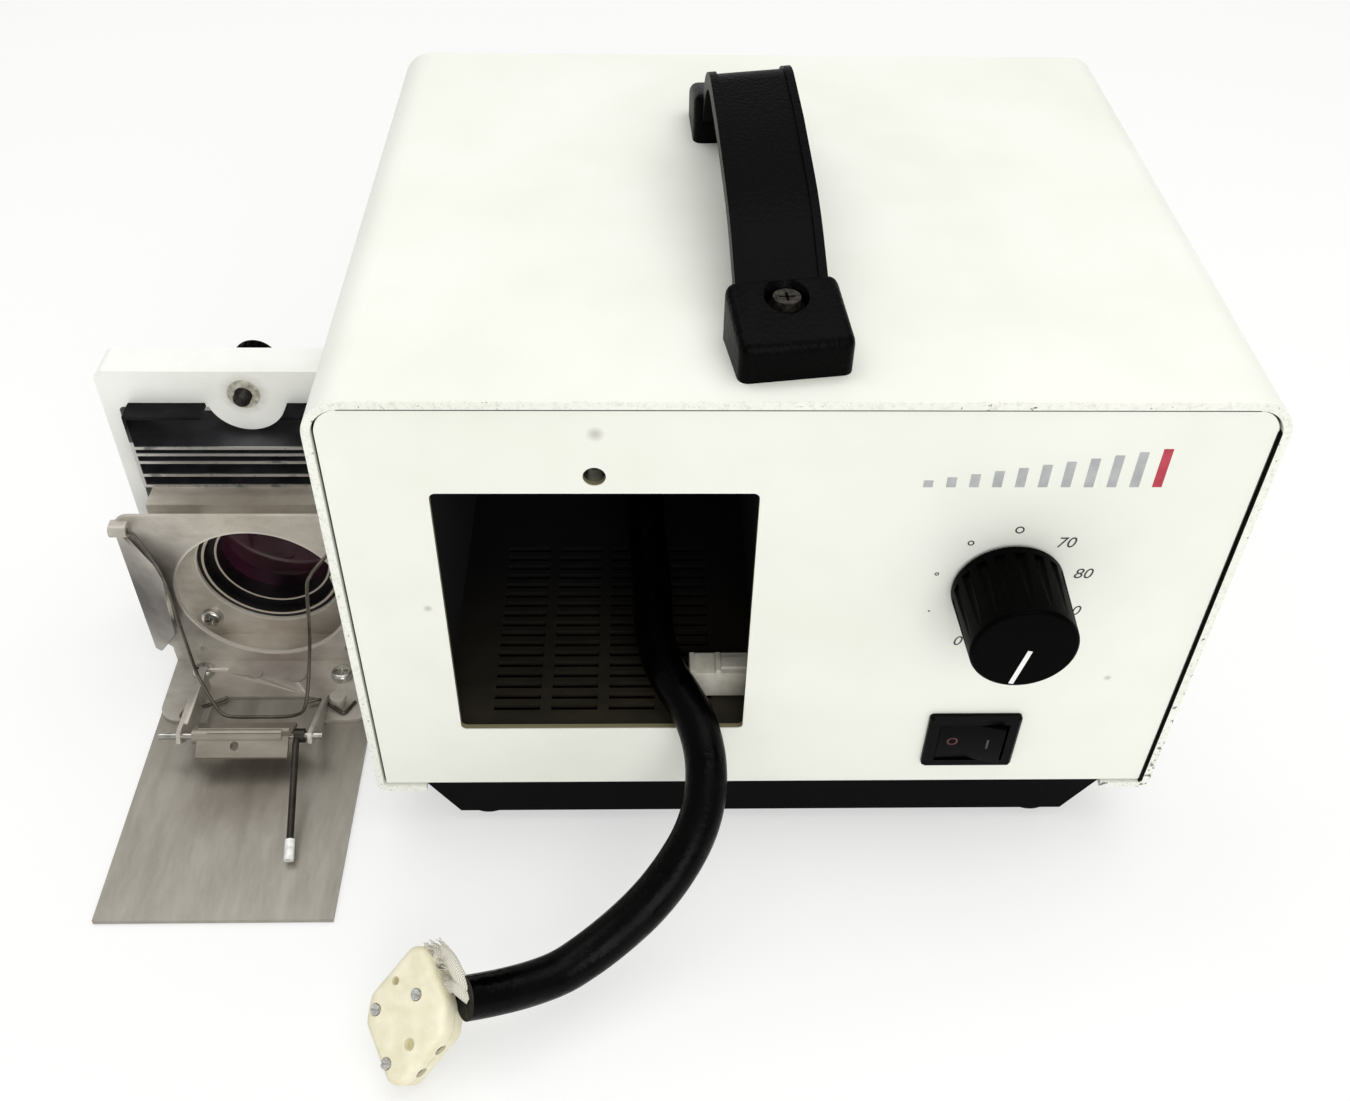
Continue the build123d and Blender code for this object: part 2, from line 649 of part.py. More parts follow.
def intensity_knob():
    face = -KNOB_STAND_OFF - KNOB_LENGTH
    frame = Plane(origin=(DIAL_X, -KNOB_STAND_OFF, DIAL_Z), z_dir=(0, -1, 0))
    taper = math.degrees(math.atan(KNOB_TAPER / KNOB_LENGTH))
    body = extrude(frame * Circle(KNOB_RADIUS), KNOB_LENGTH, taper=taper)
    body = fillet(body.edges().sort_by(Axis.Y)[0], 1.0)
    recess = rod_y(DIAL_X, DIAL_Z, -KNOB_STAND_OFF - 3.4, 0, 9.0)
    bore = rod_y(DIAL_X, DIAL_Z, -KNOB_STAND_OFF - 16.4, 0, SHAFT_RADIUS + 0.02)
    flutes = []
    for index in range(KNOB_FLUTES):
        angle = math.radians(360.0 * index / KNOB_FLUTES)
        x = DIAL_X + (KNOB_RADIUS + 0.75) * math.sin(angle)
        z = DIAL_Z + (KNOB_RADIUS + 0.75) * math.cos(angle)
        flutes.append(rod_y(x, z, face + 2.2, -KNOB_STAND_OFF - 2.0, 1.6))
    groove = pointer_bar(0.8)
    return without(body, [recess, bore, groove] + flutes)


# White line let into the knob's face, turned clockwise from the top
def pointer_bar(depth):
    face = -KNOB_STAND_OFF - KNOB_LENGTH
    x = DIAL_X - POINTER_OFFSET
    bar = block(x - 0.6, x + 0.6, face, face + depth, DIAL_Z, DIAL_Z + KNOB_RADIUS - KNOB_TAPER - 1.2)
    turn = Axis((DIAL_X, 0, DIAL_Z), (0, 1, 0))
    return bar.rotate(turn, -POINTER_ANGLE)


def knob_pointer():
    return pointer_bar(0.78)


# Rocker switch

def rocker_opening(grow):
    half_w = BEZEL_WIDTH / 2 - BEZEL_WALL + grow
    half_h = BEZEL_HEIGHT / 2 - BEZEL_WALL + grow
    return half_w, half_h


def rocker_bezel():
    rim = block(
        ROCKER_X - BEZEL_WIDTH / 2, ROCKER_X + BEZEL_WIDTH / 2, -BEZEL_PROUD, 0,
        ROCKER_Z - BEZEL_HEIGHT / 2, ROCKER_Z + BEZEL_HEIGHT / 2,
    )
    rim = fillet(rim.edges().filter_by(Axis.Y), 1.2)
    rim = chamfer(rim.faces().sort_by(Axis.Y)[0].edges(), 0.7)
    half_w = BEZEL_WIDTH / 2 - BEZEL_WALL / 2
    half_h = BEZEL_HEIGHT / 2 - BEZEL_WALL / 2
    body = block(
        ROCKER_X - half_w, ROCKER_X + half_w, -0.5, ROCKER_BODY_DEPTH, ROCKER_Z - half_h, ROCKER_Z + half_h,
    )
    open_w, open_h = rocker_opening(0.0)
    cavity = block(
        ROCKER_X - open_w, ROCKER_X + open_w, -BEZEL_PROUD - 1, 12.0, ROCKER_Z - open_h, ROCKER_Z + open_h,
    )
    pivots = rod_z(
        ROCKER_X, ROCKER_PIVOT_Y, ROCKER_Z - open_h - 1.0, ROCKER_Z + open_h + 1.0, 1.0 + RUNNING,
    )
    y0 = ROCKER_BODY_DEPTH - 0.5
    middles = (ROCKER_X - 6, ROCKER_X + 6)
    blades = [block(x - 2.4, x + 2.4, y0, y0 + 8.5, ROCKER_Z - 0.4, ROCKER_Z + 0.4) for x in middles]
    return joined([rim + body - cavity - pivots] + blades)


def rocker_paddle():
    open_w, open_h = rocker_opening(-0.35)
    front = -BEZEL_PROUD
    lip = open_w - 0.4
    outline = [
        (-lip, front - 0.7), (0.0, front + 0.55), (lip, front - 0.7),
        (lip, 4.5), (3.0, 7.0), (-3.0, 7.0), (-lip, 4.5),
    ]
    plan = [(ROCKER_X + x, y) for x, y in outline]
    paddle = slab_z(plan, ROCKER_Z - open_h, ROCKER_Z + open_h)
    pins = rod_z(ROCKER_X, ROCKER_PIVOT_Y, ROCKER_Z - open_h - 1.0, ROCKER_Z + open_h + 1.0, 1.0)
    pivot = Axis((ROCKER_X, ROCKER_PIVOT_Y, ROCKER_Z), (0, 0, 1))
    return (paddle + pins).rotate(pivot, -ROCKER_TILT)


# Handle

def handle_cap(y_outer, direction, twist):
    y_inner = y_outer + direction * CAP_LENGTH
    outline = [
        (y_outer, COVER_TOP),
        (y_outer, COVER_TOP + CAP_FRONT_HEIGHT - 2),
        (y_outer + direction * 2.5, COVER_TOP + CAP_FRONT_HEIGHT),
        (y_inner - direction * 2, COVER_TOP + CAP_BACK_HEIGHT),
        (y_inner, COVER_TOP + CAP_BACK_HEIGHT - 1.5),
        (y_inner, COVER_TOP),
    ]
    cap = slab_x(outline, -CAP_WIDTH / 2, CAP_WIDTH / 2)
    corners = cap.edges().filter_by(Axis.Z).sort_by(lambda edge: direction * edge.center().Y)[:2]
    cap = fillet(corners, CAP_CORNER)
    y_screw = y_inner - direction * CAP_SCREW_INSET
    cap = cap.rotate(Axis((0, y_screw, 0), (0, 0, 1)), twist)
    y_mouth = sorted([y_inner - direction * (CAP_LENGTH - 3), y_inner + direction])
    half = STRAP_WIDTH / 2 + STRAP_ROOM
    mouth = block(
        -half, half, y_mouth[0], y_mouth[1],
        COVER_TOP - 1, STRAP_LEVEL + STRAP_SHEET / 2 + STRAP_RIB_RISE + STRAP_ROOM,
    )
    seat = rod_z(0, y_screw, COVER_TOP + CAP_FRONT_HEIGHT + 1.2, COVER_TOP + CAP_BACK_HEIGHT + 1, 4.6)
    hole = rod_z(0, y_screw, COVER_TOP - 1, COVER_TOP + CAP_BACK_HEIGHT + 1, 2.2)
    return on_handle(without(cap, [mouth, strap_room(), seat, hole]))


# The front cap has turned a little about its screw
def handle_front_cap():
    return handle_cap(HANDLE_FRONT_Y, 1, FRONT_CAP_TWIST)


def handle_rear_cap():
    return handle_cap(HANDLE_FRONT_Y + HANDLE_SPAN, -1, 0.0)


# Middle line of the strap, which rises slowly from the front cap and falls steeply to the rear one
def strap_path():
    points = []
    for along, rise in STRAP_PROFILE:
        points.append((0, HANDLE_FRONT_Y + along * HANDLE_SPAN, STRAP_LEVEL + rise * STRAP_RISE))
    return FilletPolyline(points, radius=STRAP_BENDS)


# The space that the strap takes up, with its clearance, for the caps to be cut from
def strap_room():
    path = strap_path()
    half = STRAP_WIDTH / 2 + STRAP_ROOM
    low = -STRAP_SHEET / 2 - STRAP_ROOM
    high = STRAP_SHEET / 2 + STRAP_RIB_RISE + STRAP_ROOM
    start = Plane(origin=path @ 0, x_dir=(1, 0, 0), z_dir=path % 0)
    corners = [(-half, -low, 0), (half, -low, 0), (half, -high, 0), (-half, -high, 0)]
    return sweep(start * make_face(Polyline(corners, close=True)), path=path)


def handle_strap():
    path = strap_path()
    level = STRAP_LEVEL
    half = STRAP_WIDTH / 2
    low = -STRAP_SHEET / 2
    high = STRAP_SHEET / 2
    rib = high + STRAP_RIB_RISE
    outline = [(-half, low), (half, low), (half, rib), (half - STRAP_RIB, rib), (half - STRAP_RIB, high)]
    outline += [(STRAP_RIB - half, high), (STRAP_RIB - half, rib), (-half, rib)]
    start = Plane(origin=path @ 0, x_dir=(1, 0, 0), z_dir=path % 0)
    section = start * make_face(Polyline([(x, -z, 0) for x, z in outline], close=True))
    strap = sweep(section, path=path)
    holes = [rod_z(0, y, level - 10, level + 10, 2.3) for y in handle_screw_places()]
    return on_handle(without(strap, holes))


def handle_screws():
    screws = []
    for y in handle_screw_places():
        seat = COVER_TOP + CAP_FRONT_HEIGHT + 1.2
        head = rod_z(0, y, seat, seat + 2.4, 4.2)
        cross = block(-2.4, 2.4, y - 0.45, y + 0.45, seat + 1.0, seat + 3) + block(
            -0.45, 0.45, y - 2.4, y + 2.4, seat + 1.0, seat + 3,
        )
        shank = rod_z(0, y, COVER_TOP - 9.0, seat + 0.5, 2.0)
        nut = rod_z(0, y, COVER_TOP - COVER_SHEET - 3.2, COVER_TOP - COVER_SHEET, 3.8)
        screws.append(on_handle(head - cross + shank + nut))
    return Compound(screws)


# Fan and inlet

def fan_screw_places():
    half = FAN_HOLE_PITCH / 2
    return [(WINDOW_X + sx * half, FAN_Z + sz * half) for sx in (-1, 1) for sz in (-1, 1)]


def fan_frame():
    y1 = REAR_INNER
    y0 = y1 - FAN_DEPTH
    half = FAN_SIZE / 2
    frame = block(WINDOW_X - half, WINDOW_X + half, y0, y1, FAN_Z - half, FAN_Z + half)
    frame = fillet(frame.edges().filter_by(Axis.Y), 4)
    frame = frame - rod_y(WINDOW_X, FAN_Z, y0 - 1, y1 + 1, half - 2)
    motor = rod_y(WINDOW_X, FAN_Z, y1 - 3.5, y1 - 0.3, 17.0)
    struts = []
    for index in range(4):
        strut = block(WINDOW_X + 15, WINDOW_X + half - 1.5, y1 - 3.5, y1 - 0.3, FAN_Z - 1.5, FAN_Z + 1.5)
        struts.append(strut.rotate(Axis((WINDOW_X, 0, FAN_Z), (0, 1, 0)), 90.0 * index + 20.0))
    holes = [rod_y(x, z, y0 - 1, y1 + 1, 2.15) for x, z in fan_screw_places()]
    bearing = rod_y(WINDOW_X, FAN_Z, y1 - 6, y1 + 1, 1.5 + RUNNING)
    return without(joined([frame, motor] + struts), holes + [bearing])


def fan_rotor():
    y1 = REAR_INNER - 4.3
    y0 = REAR_INNER - FAN_DEPTH + 1.5
    hub = rod_y(WINDOW_X, FAN_Z, y0, y1, 15.0)
    shaft = rod_y(WINDOW_X, FAN_Z, y1 - 1, REAR_INNER - 0.5, 1.5)
    blades = []
    for index in range(FAN_BLADES):
        blade = Pos(25.0, 0, 0) * Rot(38, 0, 0) * Box(22.0, 1.3, 18.0)
        place = Pos(WINDOW_X, (y0 + y1) / 2, FAN_Z)
        blades.append(place * Rot(0, 360.0 * index / FAN_BLADES, 0) * blade)
    rotor = joined([hub, shaft] + blades)
    return rotor & rod_y(WINDOW_X, FAN_Z, y0, REAR_INNER, 36.5)


def fan_guard():
    y = REAR_FACE + GUARD_WIRE
    pieces = []
    for radius in (10.0, 18.0, 26.0, 34.0):
        pieces.append(Pos(WINDOW_X, y, FAN_Z) * Rot(90, 0, 0) * Torus(radius, GUARD_WIRE))
    reach = FAN_HOLE_PITCH / 2 * math.sqrt(2)
    for index in range(2):
        bar = Pos(WINDOW_X, y + 0.6, FAN_Z) * Rot(0, 45 + 90 * index, 0) * Rot(0, 90, 0) * Cylinder(
            GUARD_WIRE, 2 * reach - 7.6,
        )
        pieces.append(bar)
    eyes = [rod_y(x, z, REAR_FACE, REAR_FACE + 2 * GUARD_WIRE, 4.2) for x, z in fan_screw_places()]
    holes = [rod_y(x, z, REAR_FACE - 1, REAR_FACE + 3, 2.0) for x, z in fan_screw_places()]
    return without(joined(pieces + eyes), holes)


def fan_screws():
    screws = []
    for x, z in fan_screw_places():
        seat = REAR_FACE + 2 * GUARD_WIRE
        head = rod_y(x, z, seat, seat + 2.0, 3.6)
        cross = block(x - 2, x + 2, seat + 0.9, seat + 3, z - 0.35, z + 0.35) + block(
            x - 0.35, x + 0.35, seat + 0.9, seat + 3, z - 2, z + 2,
        )
        screws.append(head - cross + rod_y(x, z, REAR_INNER - 12, seat + 0.5, 1.9))
    return Compound(screws)


def power_inlet():
    flange = block(INLET_X - 25, INLET_X + 25, REAR_FACE, REAR_FACE + 2.2, INLET_Z - 11.5, INLET_Z + 11.5)
    flange = fillet(flange.edges().filter_by(Axis.Y), 4)
    body = block(
        INLET_X - INLET_WIDTH / 2, INLET_X + INLET_WIDTH / 2, REAR_FACE - 20,
        REAR_FACE + 1, INLET_Z - INLET_HEIGHT / 2, INLET_Z + INLET_HEIGHT / 2,
    )
    cavity = block(INLET_X - 12, INLET_X + 12, REAR_FACE - 17, REAR_FACE + 3, INLET_Z - 8, INLET_Z + 8)
    cavity = chamfer(cavity.edges().filter_by(Axis.Y).sort_by(Axis.Z)[-2:], 4.5)
    pins = []
    for dx, dz in ((-7, -1.5), (0, 1.5), (7, -1.5)):
        x = INLET_X + dx
        z = INLET_Z + dz
        pins.append(block(x - 1, x + 1, REAR_FACE - 18, REAR_FACE - 2, z - 2, z + 2))
    ears = [rod_y(INLET_X + s * 20.0, INLET_Z, REAR_FACE - 1, REAR_FACE + 3, 1.6) for s in (-1, 1)]
    return joined([without(flange + body, [cavity] + ears)] + pins)


def inlet_screws():
    screws = []
    for side in (-1, 1):
        x = INLET_X + side * 20.0
        head = rod_y(x, INLET_Z, REAR_FACE + 2.2, REAR_FACE + 3.9, 2.7)
        screws.append(head + rod_y(x, INLET_Z, REAR_INNER - 4, REAR_FACE + 2.6, 1.5))
    return Compound(screws)


# Lamp module

def bracket_screw_places():
    return [(MODULE_X - 22.4, BRACKET_Y - 6.7), (MODULE_X + 21.0, BRACKET_Y - 7.9)]


def shield_screw_places():
    return [(MODULE_X - 21.8, 11.0), (MODULE_X + 21.8, 11.0)]


def module_base_plate():
    half = BASE_WIDTH / 2
    plate = block(MODULE_X - half, MODULE_X + half, MODULE_FRONT_Y, DOOR_INNER_Y, 0, BASE_SHEET)
    turned_up = block(MODULE_X - half, MODULE_X + half, DOOR_INNER_Y - BASE_SHEET, DOOR_INNER_Y, 0, 11.0)
    holes = [rod_z(x, y, -1, BASE_SHEET + 1, 1.6) for x, y in bracket_screw_places()]
    return without(plate + turned_up, holes)


def ring_hole(radius, y0, y1):
    return rod_y(MODULE_X, AXIS_HEIGHT, y0, y1, radius)


# The two folded side flanges reach forward and inward from the bracket's upright edges
def side_flange(side):
    angle = math.radians(SIDE_FLANGE_ANGLE)
    edge_x = MODULE_X + side * BRACKET_WIDTH / 2
    direction = Vector(-side * math.cos(angle), -math.sin(angle), 0)
    inward = Vector(-side * math.sin(angle), math.cos(angle), 0)
    corners = [
        (0.0, BRACKET_HEIGHT - 5), (2.0, BRACKET_HEIGHT - 5.5),
        (15.5, 46.5), (12.5, 21.5), (2.5, 8.5), (0.0, 8.5),
    ]
    points = []
    for reach, height in corners:
        points.append(Vector(edge_x, BRACKET_Y - BRACKET_SHEET, height) + direction * reach)
    face = make_face(Polyline(points, close=True))
    return extrude(face, BRACKET_SHEET * 0.8, dir=inward)


# The left ear has a folded lip with a short tab at its rear, the right one is plain
def rod_ears():
    z0 = BASE_SHEET + BRACKET_SHEET - 0.4
    left, right = ear_places()
    nose = [(ROD_Y - 1.2, ROD_Z + 2.4), (ROD_Y - 2.6, ROD_Z - 0.5), (ROD_Y + 0.5, ROD_Z - 3.2)]
    tall = [(EAR_BACK_Y + 1.0, z0), (EAR_BACK_Y, EAR_BACK_Z)] + nose + [(BRACKET_Y - 24.0, z0)]
    plain = [(BRACKET_Y - 16.0, z0), (BRACKET_Y - 19.0, z0 + 4.0)] + nose + [(BRACKET_Y - 24.0, z0)]
    ears = [slab_x(tall, left - 0.6, left + 0.6), slab_x(plain, right - 0.6, right + 0.6)]
    y0 = ROD_Y + 3.0
    slope = (EAR_BACK_Z - ROD_Z - 2.4) / (EAR_BACK_Y - ROD_Y + 1.2)
    z1 = EAR_BACK_Z - slope * (EAR_BACK_Y - y0)
    lip = [(EAR_BACK_Y, EAR_BACK_Z), (y0, z1), (y0, z1 - 0.8), (EAR_BACK_Y, EAR_BACK_Z - 0.8)]
    ears.append(slab_x(lip, left - 0.6, left + 1.8))
    y1 = EAR_BACK_Y - 0.3
    z1 = EAR_BACK_Z - 0.2
    ears.append(block(left, left + 8.4, y1 - 0.9, y1, z1 - 0.9, z1))
    return ears


def ear_places():
    return MODULE_X - 19.8, MODULE_X + 18.2


def lug_places():
    inner = BRACKET_WIDTH / 2 - 5.0
    return [
        (MODULE_X - BRACKET_WIDTH / 2, MODULE_X - inner), (MODULE_X + inner, MODULE_X + BRACKET_WIDTH / 2),
    ]


def lamp_bracket():
    half = BRACKET_WIDTH / 2
    neck = BASE_WIDTH / 2
    y0 = BRACKET_Y - BRACKET_SHEET
    z0 = BASE_SHEET
    upright = slab_y([
        (MODULE_X - neck, z0), (MODULE_X - neck, 9.0), (MODULE_X - half, 15.0), (
            MODULE_X - half, BRACKET_HEIGHT,
        ),
        (MODULE_X + half, BRACKET_HEIGHT), (MODULE_X + half, 15.0), (MODULE_X + neck, 9.0), (
            MODULE_X + neck, z0,
        ),
    ], y0, BRACKET_Y)
    upper = upright.edges().filter_by(Axis.Y).sort_by(Axis.Z)[-2:]
    upright = fillet(upper, BRACKET_CORNER)
    upright = upright - ring_hole(BRACKET_HOLE, y0 - 1, BRACKET_Y + 1)
    foot = block(
        MODULE_X - neck, MODULE_X + neck, BRACKET_Y - FOOT_REACH, BRACKET_Y, z0, z0 + BRACKET_SHEET,
    )
    foot = fillet(foot.edges().filter_by(Axis.Z).sort_by(Axis.Y)[:2], 6)
    gap = block(
        MODULE_X - neck + FOOT_LEG_WIDTH, MODULE_X + neck - FOOT_LEG_WIDTH,
        BRACKET_Y - FOOT_REACH - 1, BRACKET_Y - FOOT_NECK, z0 - 1, z0 + 3,
    )
    gap = fillet(gap.edges().filter_by(Axis.Z).sort_by(Axis.Y)[-2:], 5)
    lugs = [block(x0, x1, BAIL_Y - 1.9, y0 + 0.2, BAIL_Z - 2.0, BAIL_Z + 2.0) for x0, x1 in lug_places()]
    rivets = [
        rod_z(MODULE_X - 6.0, BRACKET_Y - 7.4, z0, z0 + 1.9, 1.8),
        rod_z(MODULE_X + 7.0, BRACKET_Y - 8.2, z0, z0 + 1.8, 2.6),
    ]
    x, y = POST_PLACE
    post = rod_z(x, y, z0 + 0.5, z0 + 5.0, 1.6) + rod_z(x, y, z0 + 4.6, z0 + 6.0, 2.4)
    whole = joined(
        [upright, foot - gap, side_flange(-1), side_flange(1), post] + lugs + rod_ears() + rivets
    )
    cuts = [rod_z(x, y, z0 - 1, z0 + 3, 1.6) for x, y in bracket_screw_places()]
    cuts += [rod_y(MODULE_X + s * 22.5, 8.0, y0 - 1, BRACKET_Y + 1, 1.2) for s in (-1, 1)]
    cuts += [rod_x(BAIL_Y, BAIL_Z, x0 - 1, x1 + 1, BAIL_WIRE + RUNNING) for x0, x1 in lug_places()]
    cuts += [rod_x(ROD_Y, ROD_Z, x - 2, x + 2, ROD_RADIUS + RUNNING) for x in ear_places()]
    top = BASE_SHEET + BRACKET_SHEET
    notch_y = BRACKET_Y - NOTCH_BACK
    cuts += [block(x - 1, x + 1, notch_y - NOTCH_WIDTH, notch_y, top, top + 2.2) for x in ear_places()]
    return without(whole, cuts)


def pan_head(x, y, seat, radius, height, reach, shank):
    head = rod_z(x, y, seat, seat + height, radius)
    head = fillet(head.edges().sort_by(Axis.Z)[-1], height * 0.6)
    cross = block(
        x - radius * 0.6, x + radius * 0.6, y - 0.35, y + 0.35, seat + height * 0.5, seat + height + 1,
    )
    cross = cross + block(
        x - 0.35, x + 0.35, y - radius * 0.6, y + radius * 0.6, seat + height * 0.5, seat + height + 1,
    )
    return head - cross + rod_z(x, y, reach, seat + height * 0.4, shank)


# Screws of the bracket point down, those of the heat shield point to the rear
def module_screws():
    seat = BASE_SHEET + BRACKET_SHEET
    screws = [pan_head(x, y, seat, 3.4, 2.4, 0.2, 1.5) for x, y in bracket_screw_places()]
    for x, z in shield_screw_places():
        lying = Pos(x, SHIELD_Y, z) * Rot(90, 0, 0) * pan_head(0, 0, 0, 3.4, 2.4, -4.0, 1.5)
        screws.append(lying)
    return Compound(screws)


# Two wire ends of the latch spring lie on the bracket's foot
def latch_spring():
    z = BASE_SHEET + BRACKET_SHEET + SPRING_WIRE
    mx = MODULE_X
    left = [
        (mx - 12.5, 45.5, z), (mx - 17.7, 42.5, z),
        (mx - 24.5, 40.5, z), (mx - 25.6, 37.4, z), (mx - 21.2, 37.4, z),
    ]
    right = [
        (mx + 26.8, 43.6, z), (mx + 24.1, 38.6, z),
        (mx + 19.6, 41.4, z + 0.8), (mx + 15.6, 44.6, z),
        (mx + 12.2, 43.4, z),
    ]
    return Compound([wire(left, 1.0, SPRING_WIRE), wire(right, 1.0, SPRING_WIRE)])


def heat_shield():
    half = BASE_WIDTH / 2 - 0.5
    y0 = SHIELD_Y
    y1 = SHIELD_Y + SHIELD_SHEET
    z0 = BASE_SHEET
    upright = block(MODULE_X - half, MODULE_X + half, y0, y1, z0, SHIELD_HEIGHT)
    top = block(
        MODULE_X - half, MODULE_X + half, y0, y0 + SHIELD_TOP_DEPTH,
        SHIELD_HEIGHT - SHIELD_SHEET, SHIELD_HEIGHT,
    )
    foot = block(MODULE_X - half, MODULE_X + half, BRACKET_Y + 0.3, y1, z0, z0 + SHIELD_SHEET)
    holes = [rod_y(x, z, y0 - 1, y1 + 1, 1.6) for x, z in shield_screw_places()]
    return without(upright + top + foot, holes + [ring_hole(SHIELD_HOLE, y0 - 1, y1 + 1)])


def filter_ring():
    y0 = SHIELD_Y + SHIELD_SHEET
    y1 = filter_back()
    ring = ring_hole(FILTER_RADIUS + 1.6, y0, y1)
    lip = ring_hole(FILTER_SIGHT, y0 + 3, y1 + 1)
    mouth = ring_hole(FILTER_SIGHT + 3.0, y0 - 1, y0 + 3.2)
    seat = ring_hole(FILTER_RADIUS + RUNNING, y1 - FILTER_SHEET - 0.1, y1 + 1)
    return without(ring, [lip, mouth, seat])


def filter_back():
    return DOOR_INNER_Y - 14.0


def filter_glass():
    return ring_hole(FILTER_RADIUS, filter_back() - FILTER_SHEET, filter_back())


def port_tube():
    y0 = filter_back()
    flange = ring_hole(PORT_FLANGE, y0, y0 + PORT_FLANGE_SHEET)
    tube = ring_hole(PORT_OUTER, y0, DOOR_FACE_Y + PORT_NOSE)
    bore = ring_hole(PORT_BORE, y0 - 1, DOOR_FACE_Y + PORT_NOSE + 1)
    y = DOOR_FACE_Y + PORT_NOSE / 2
    lock_bore = rod_z(MODULE_X, y, AXIS_HEIGHT, AXIS_HEIGHT + PORT_OUTER + 1, 2.0 + RUNNING)
    return without(flange + tube, [bore, lock_bore])


def port_lock_screw():
    y = DOOR_FACE_Y + PORT_NOSE / 2
    z0 = AXIS_HEIGHT + PORT_BORE + 0.6
    shank = rod_z(MODULE_X, y, z0, AXIS_HEIGHT + PORT_OUTER + 3.0, 2.0)
    head = rod_z(MODULE_X, y, AXIS_HEIGHT + PORT_OUTER + 0.6, AXIS_HEIGHT + PORT_OUTER + 8.0, 5.0)
    return shank + head


def light_baffle():
    half = BASE_WIDTH / 2 + 1.5
    y0 = SHIELD_Y + SHIELD_TOP_DEPTH - 2.0
    y1 = DOOR_INNER_Y
    top = DOOR_HEIGHT - DOOR_TOP_LIP + 1.5
    cheeks = [block(x - 0.5, x + 0.5, y0, y1, SHIELD_HEIGHT, top) for x in (MODULE_X - half, MODULE_X + half)]
    free = SCREW_HEIGHT - 1.5 - DOOR_TAB_RADIUS - 0.5 - SHIELD_HEIGHT
    levels = [SHIELD_HEIGHT, top - 1.0] + [SHIELD_HEIGHT + share * free for share in BLADE_SHARES]
    blades = [block(MODULE_X - half, MODULE_X + half, y0, y1, z, z + 1.0) for z in levels]
    tab = rod_y(MODULE_X, SCREW_HEIGHT - 1.5, y0 - 1, y1 + 1, DOOR_TAB_RADIUS + 0.5)
    lip = block(
        MODULE_X - half - 1, MODULE_X + half + 1, DOOR_LIP_Y - 0.1,
        y1 + 1, DOOR_HEIGHT - DOOR_TOP_LIP - 0.1, top + 1,
    )
    return joined(cheeks + blades) - tab - lip


def door_pan():
    half = DOOR_WIDTH / 2
    x0 = MODULE_X - half
    x1 = MODULE_X + half
    pan = block(x0, x1, DOOR_LIP_Y, DOOR_FACE_Y, 0, DOOR_HEIGHT)
    pan = fillet(pan.edges().filter_by(Axis.Y).sort_by(Axis.Z)[-2:], 3)
    hollow = block(
        x0 + DOOR_SHEET, x1 - DOOR_SHEET, DOOR_LIP_Y + DOOR_SHEET,
        DOOR_INNER_Y, -1, DOOR_HEIGHT - DOOR_SHEET,
    )
    mouth_top = DOOR_HEIGHT - DOOR_TOP_LIP
    mouth = block(
        x0 + DOOR_SIDE_LIP, x1 - DOOR_SIDE_LIP, DOOR_LIP_Y - 1, DOOR_LIP_Y + DOOR_SHEET + 1, -1, mouth_top,
    )
    mouth = fillet(mouth.edges().filter_by(Axis.Y).sort_by(Axis.Z)[-2:], 1.5)
    tab = rod_y(MODULE_X, SCREW_HEIGHT - 1.5, DOOR_LIP_Y - 2, DOOR_LIP_Y + DOOR_SHEET + 2, DOOR_TAB_RADIUS)
    pan = pan - hollow - (mouth - tab)
    bore = rod_y(MODULE_X, SCREW_HEIGHT, DOOR_LIP_Y - 1, DOOR_FACE_Y + 1, SCREW_RADIUS + RUNNING)
    port = ring_hole(PORT_OUTER + RUNNING, DOOR_LIP_Y - 1, DOOR_FACE_Y + 1)
    return without(pan, [bore, port])


def thumb_screw():
    y1 = DOOR_FACE_Y + 0.3
    shank = rod_y(MODULE_X, SCREW_HEIGHT, y1 - SCREW_LENGTH, y1 + 1, SCREW_RADIUS)
    return chamfer(shank.edges().sort_by(Axis.Y)[0], 0.6)


def thumb_knob():
    y0 = DOOR_FACE_Y + 0.3
    knob = rod_y(MODULE_X, SCREW_HEIGHT, y0, y0 + THUMB_LENGTH, THUMB_RADIUS)
    knob = fillet(knob.edges().filter_by(GeomType.CIRCLE).sort_by(Axis.Y)[-1], 1.2)
    return knob - rod_y(MODULE_X, SCREW_HEIGHT, y0 - 1, y0 + 1.02, SCREW_RADIUS + 0.02)


def lamp_bail():
    left = lug_places()[0]
    right = lug_places()[1]
    points = [
        (left[0] - 1.8, BAIL_Y, BAIL_Z),
        (left[1] + 1.2, BAIL_Y, BAIL_Z),
        (MODULE_X - 19.6, 45.0, 55.2),
        (MODULE_X - 17.6, 41.0, 20.6),
        (MODULE_X - 9.6, 31.6, 10.3),
        (MODULE_X + 15.0, 31.6, 10.3),
        (MODULE_X + 17.2, 44.0, 30.0),
        (MODULE_X + 20.2, 44.0, 55.0),
        (right[0] - 1.2, BAIL_Y, BAIL_Z),
        (right[1] + 1.8, BAIL_Y, BAIL_Z),
    ]
    return wire(points, 2.0, BAIL_WIRE)


def latch_rod():
    return rod_x(ROD_Y, ROD_Z, MODULE_X - 26.0, MODULE_X + 21.5, ROD_RADIUS)


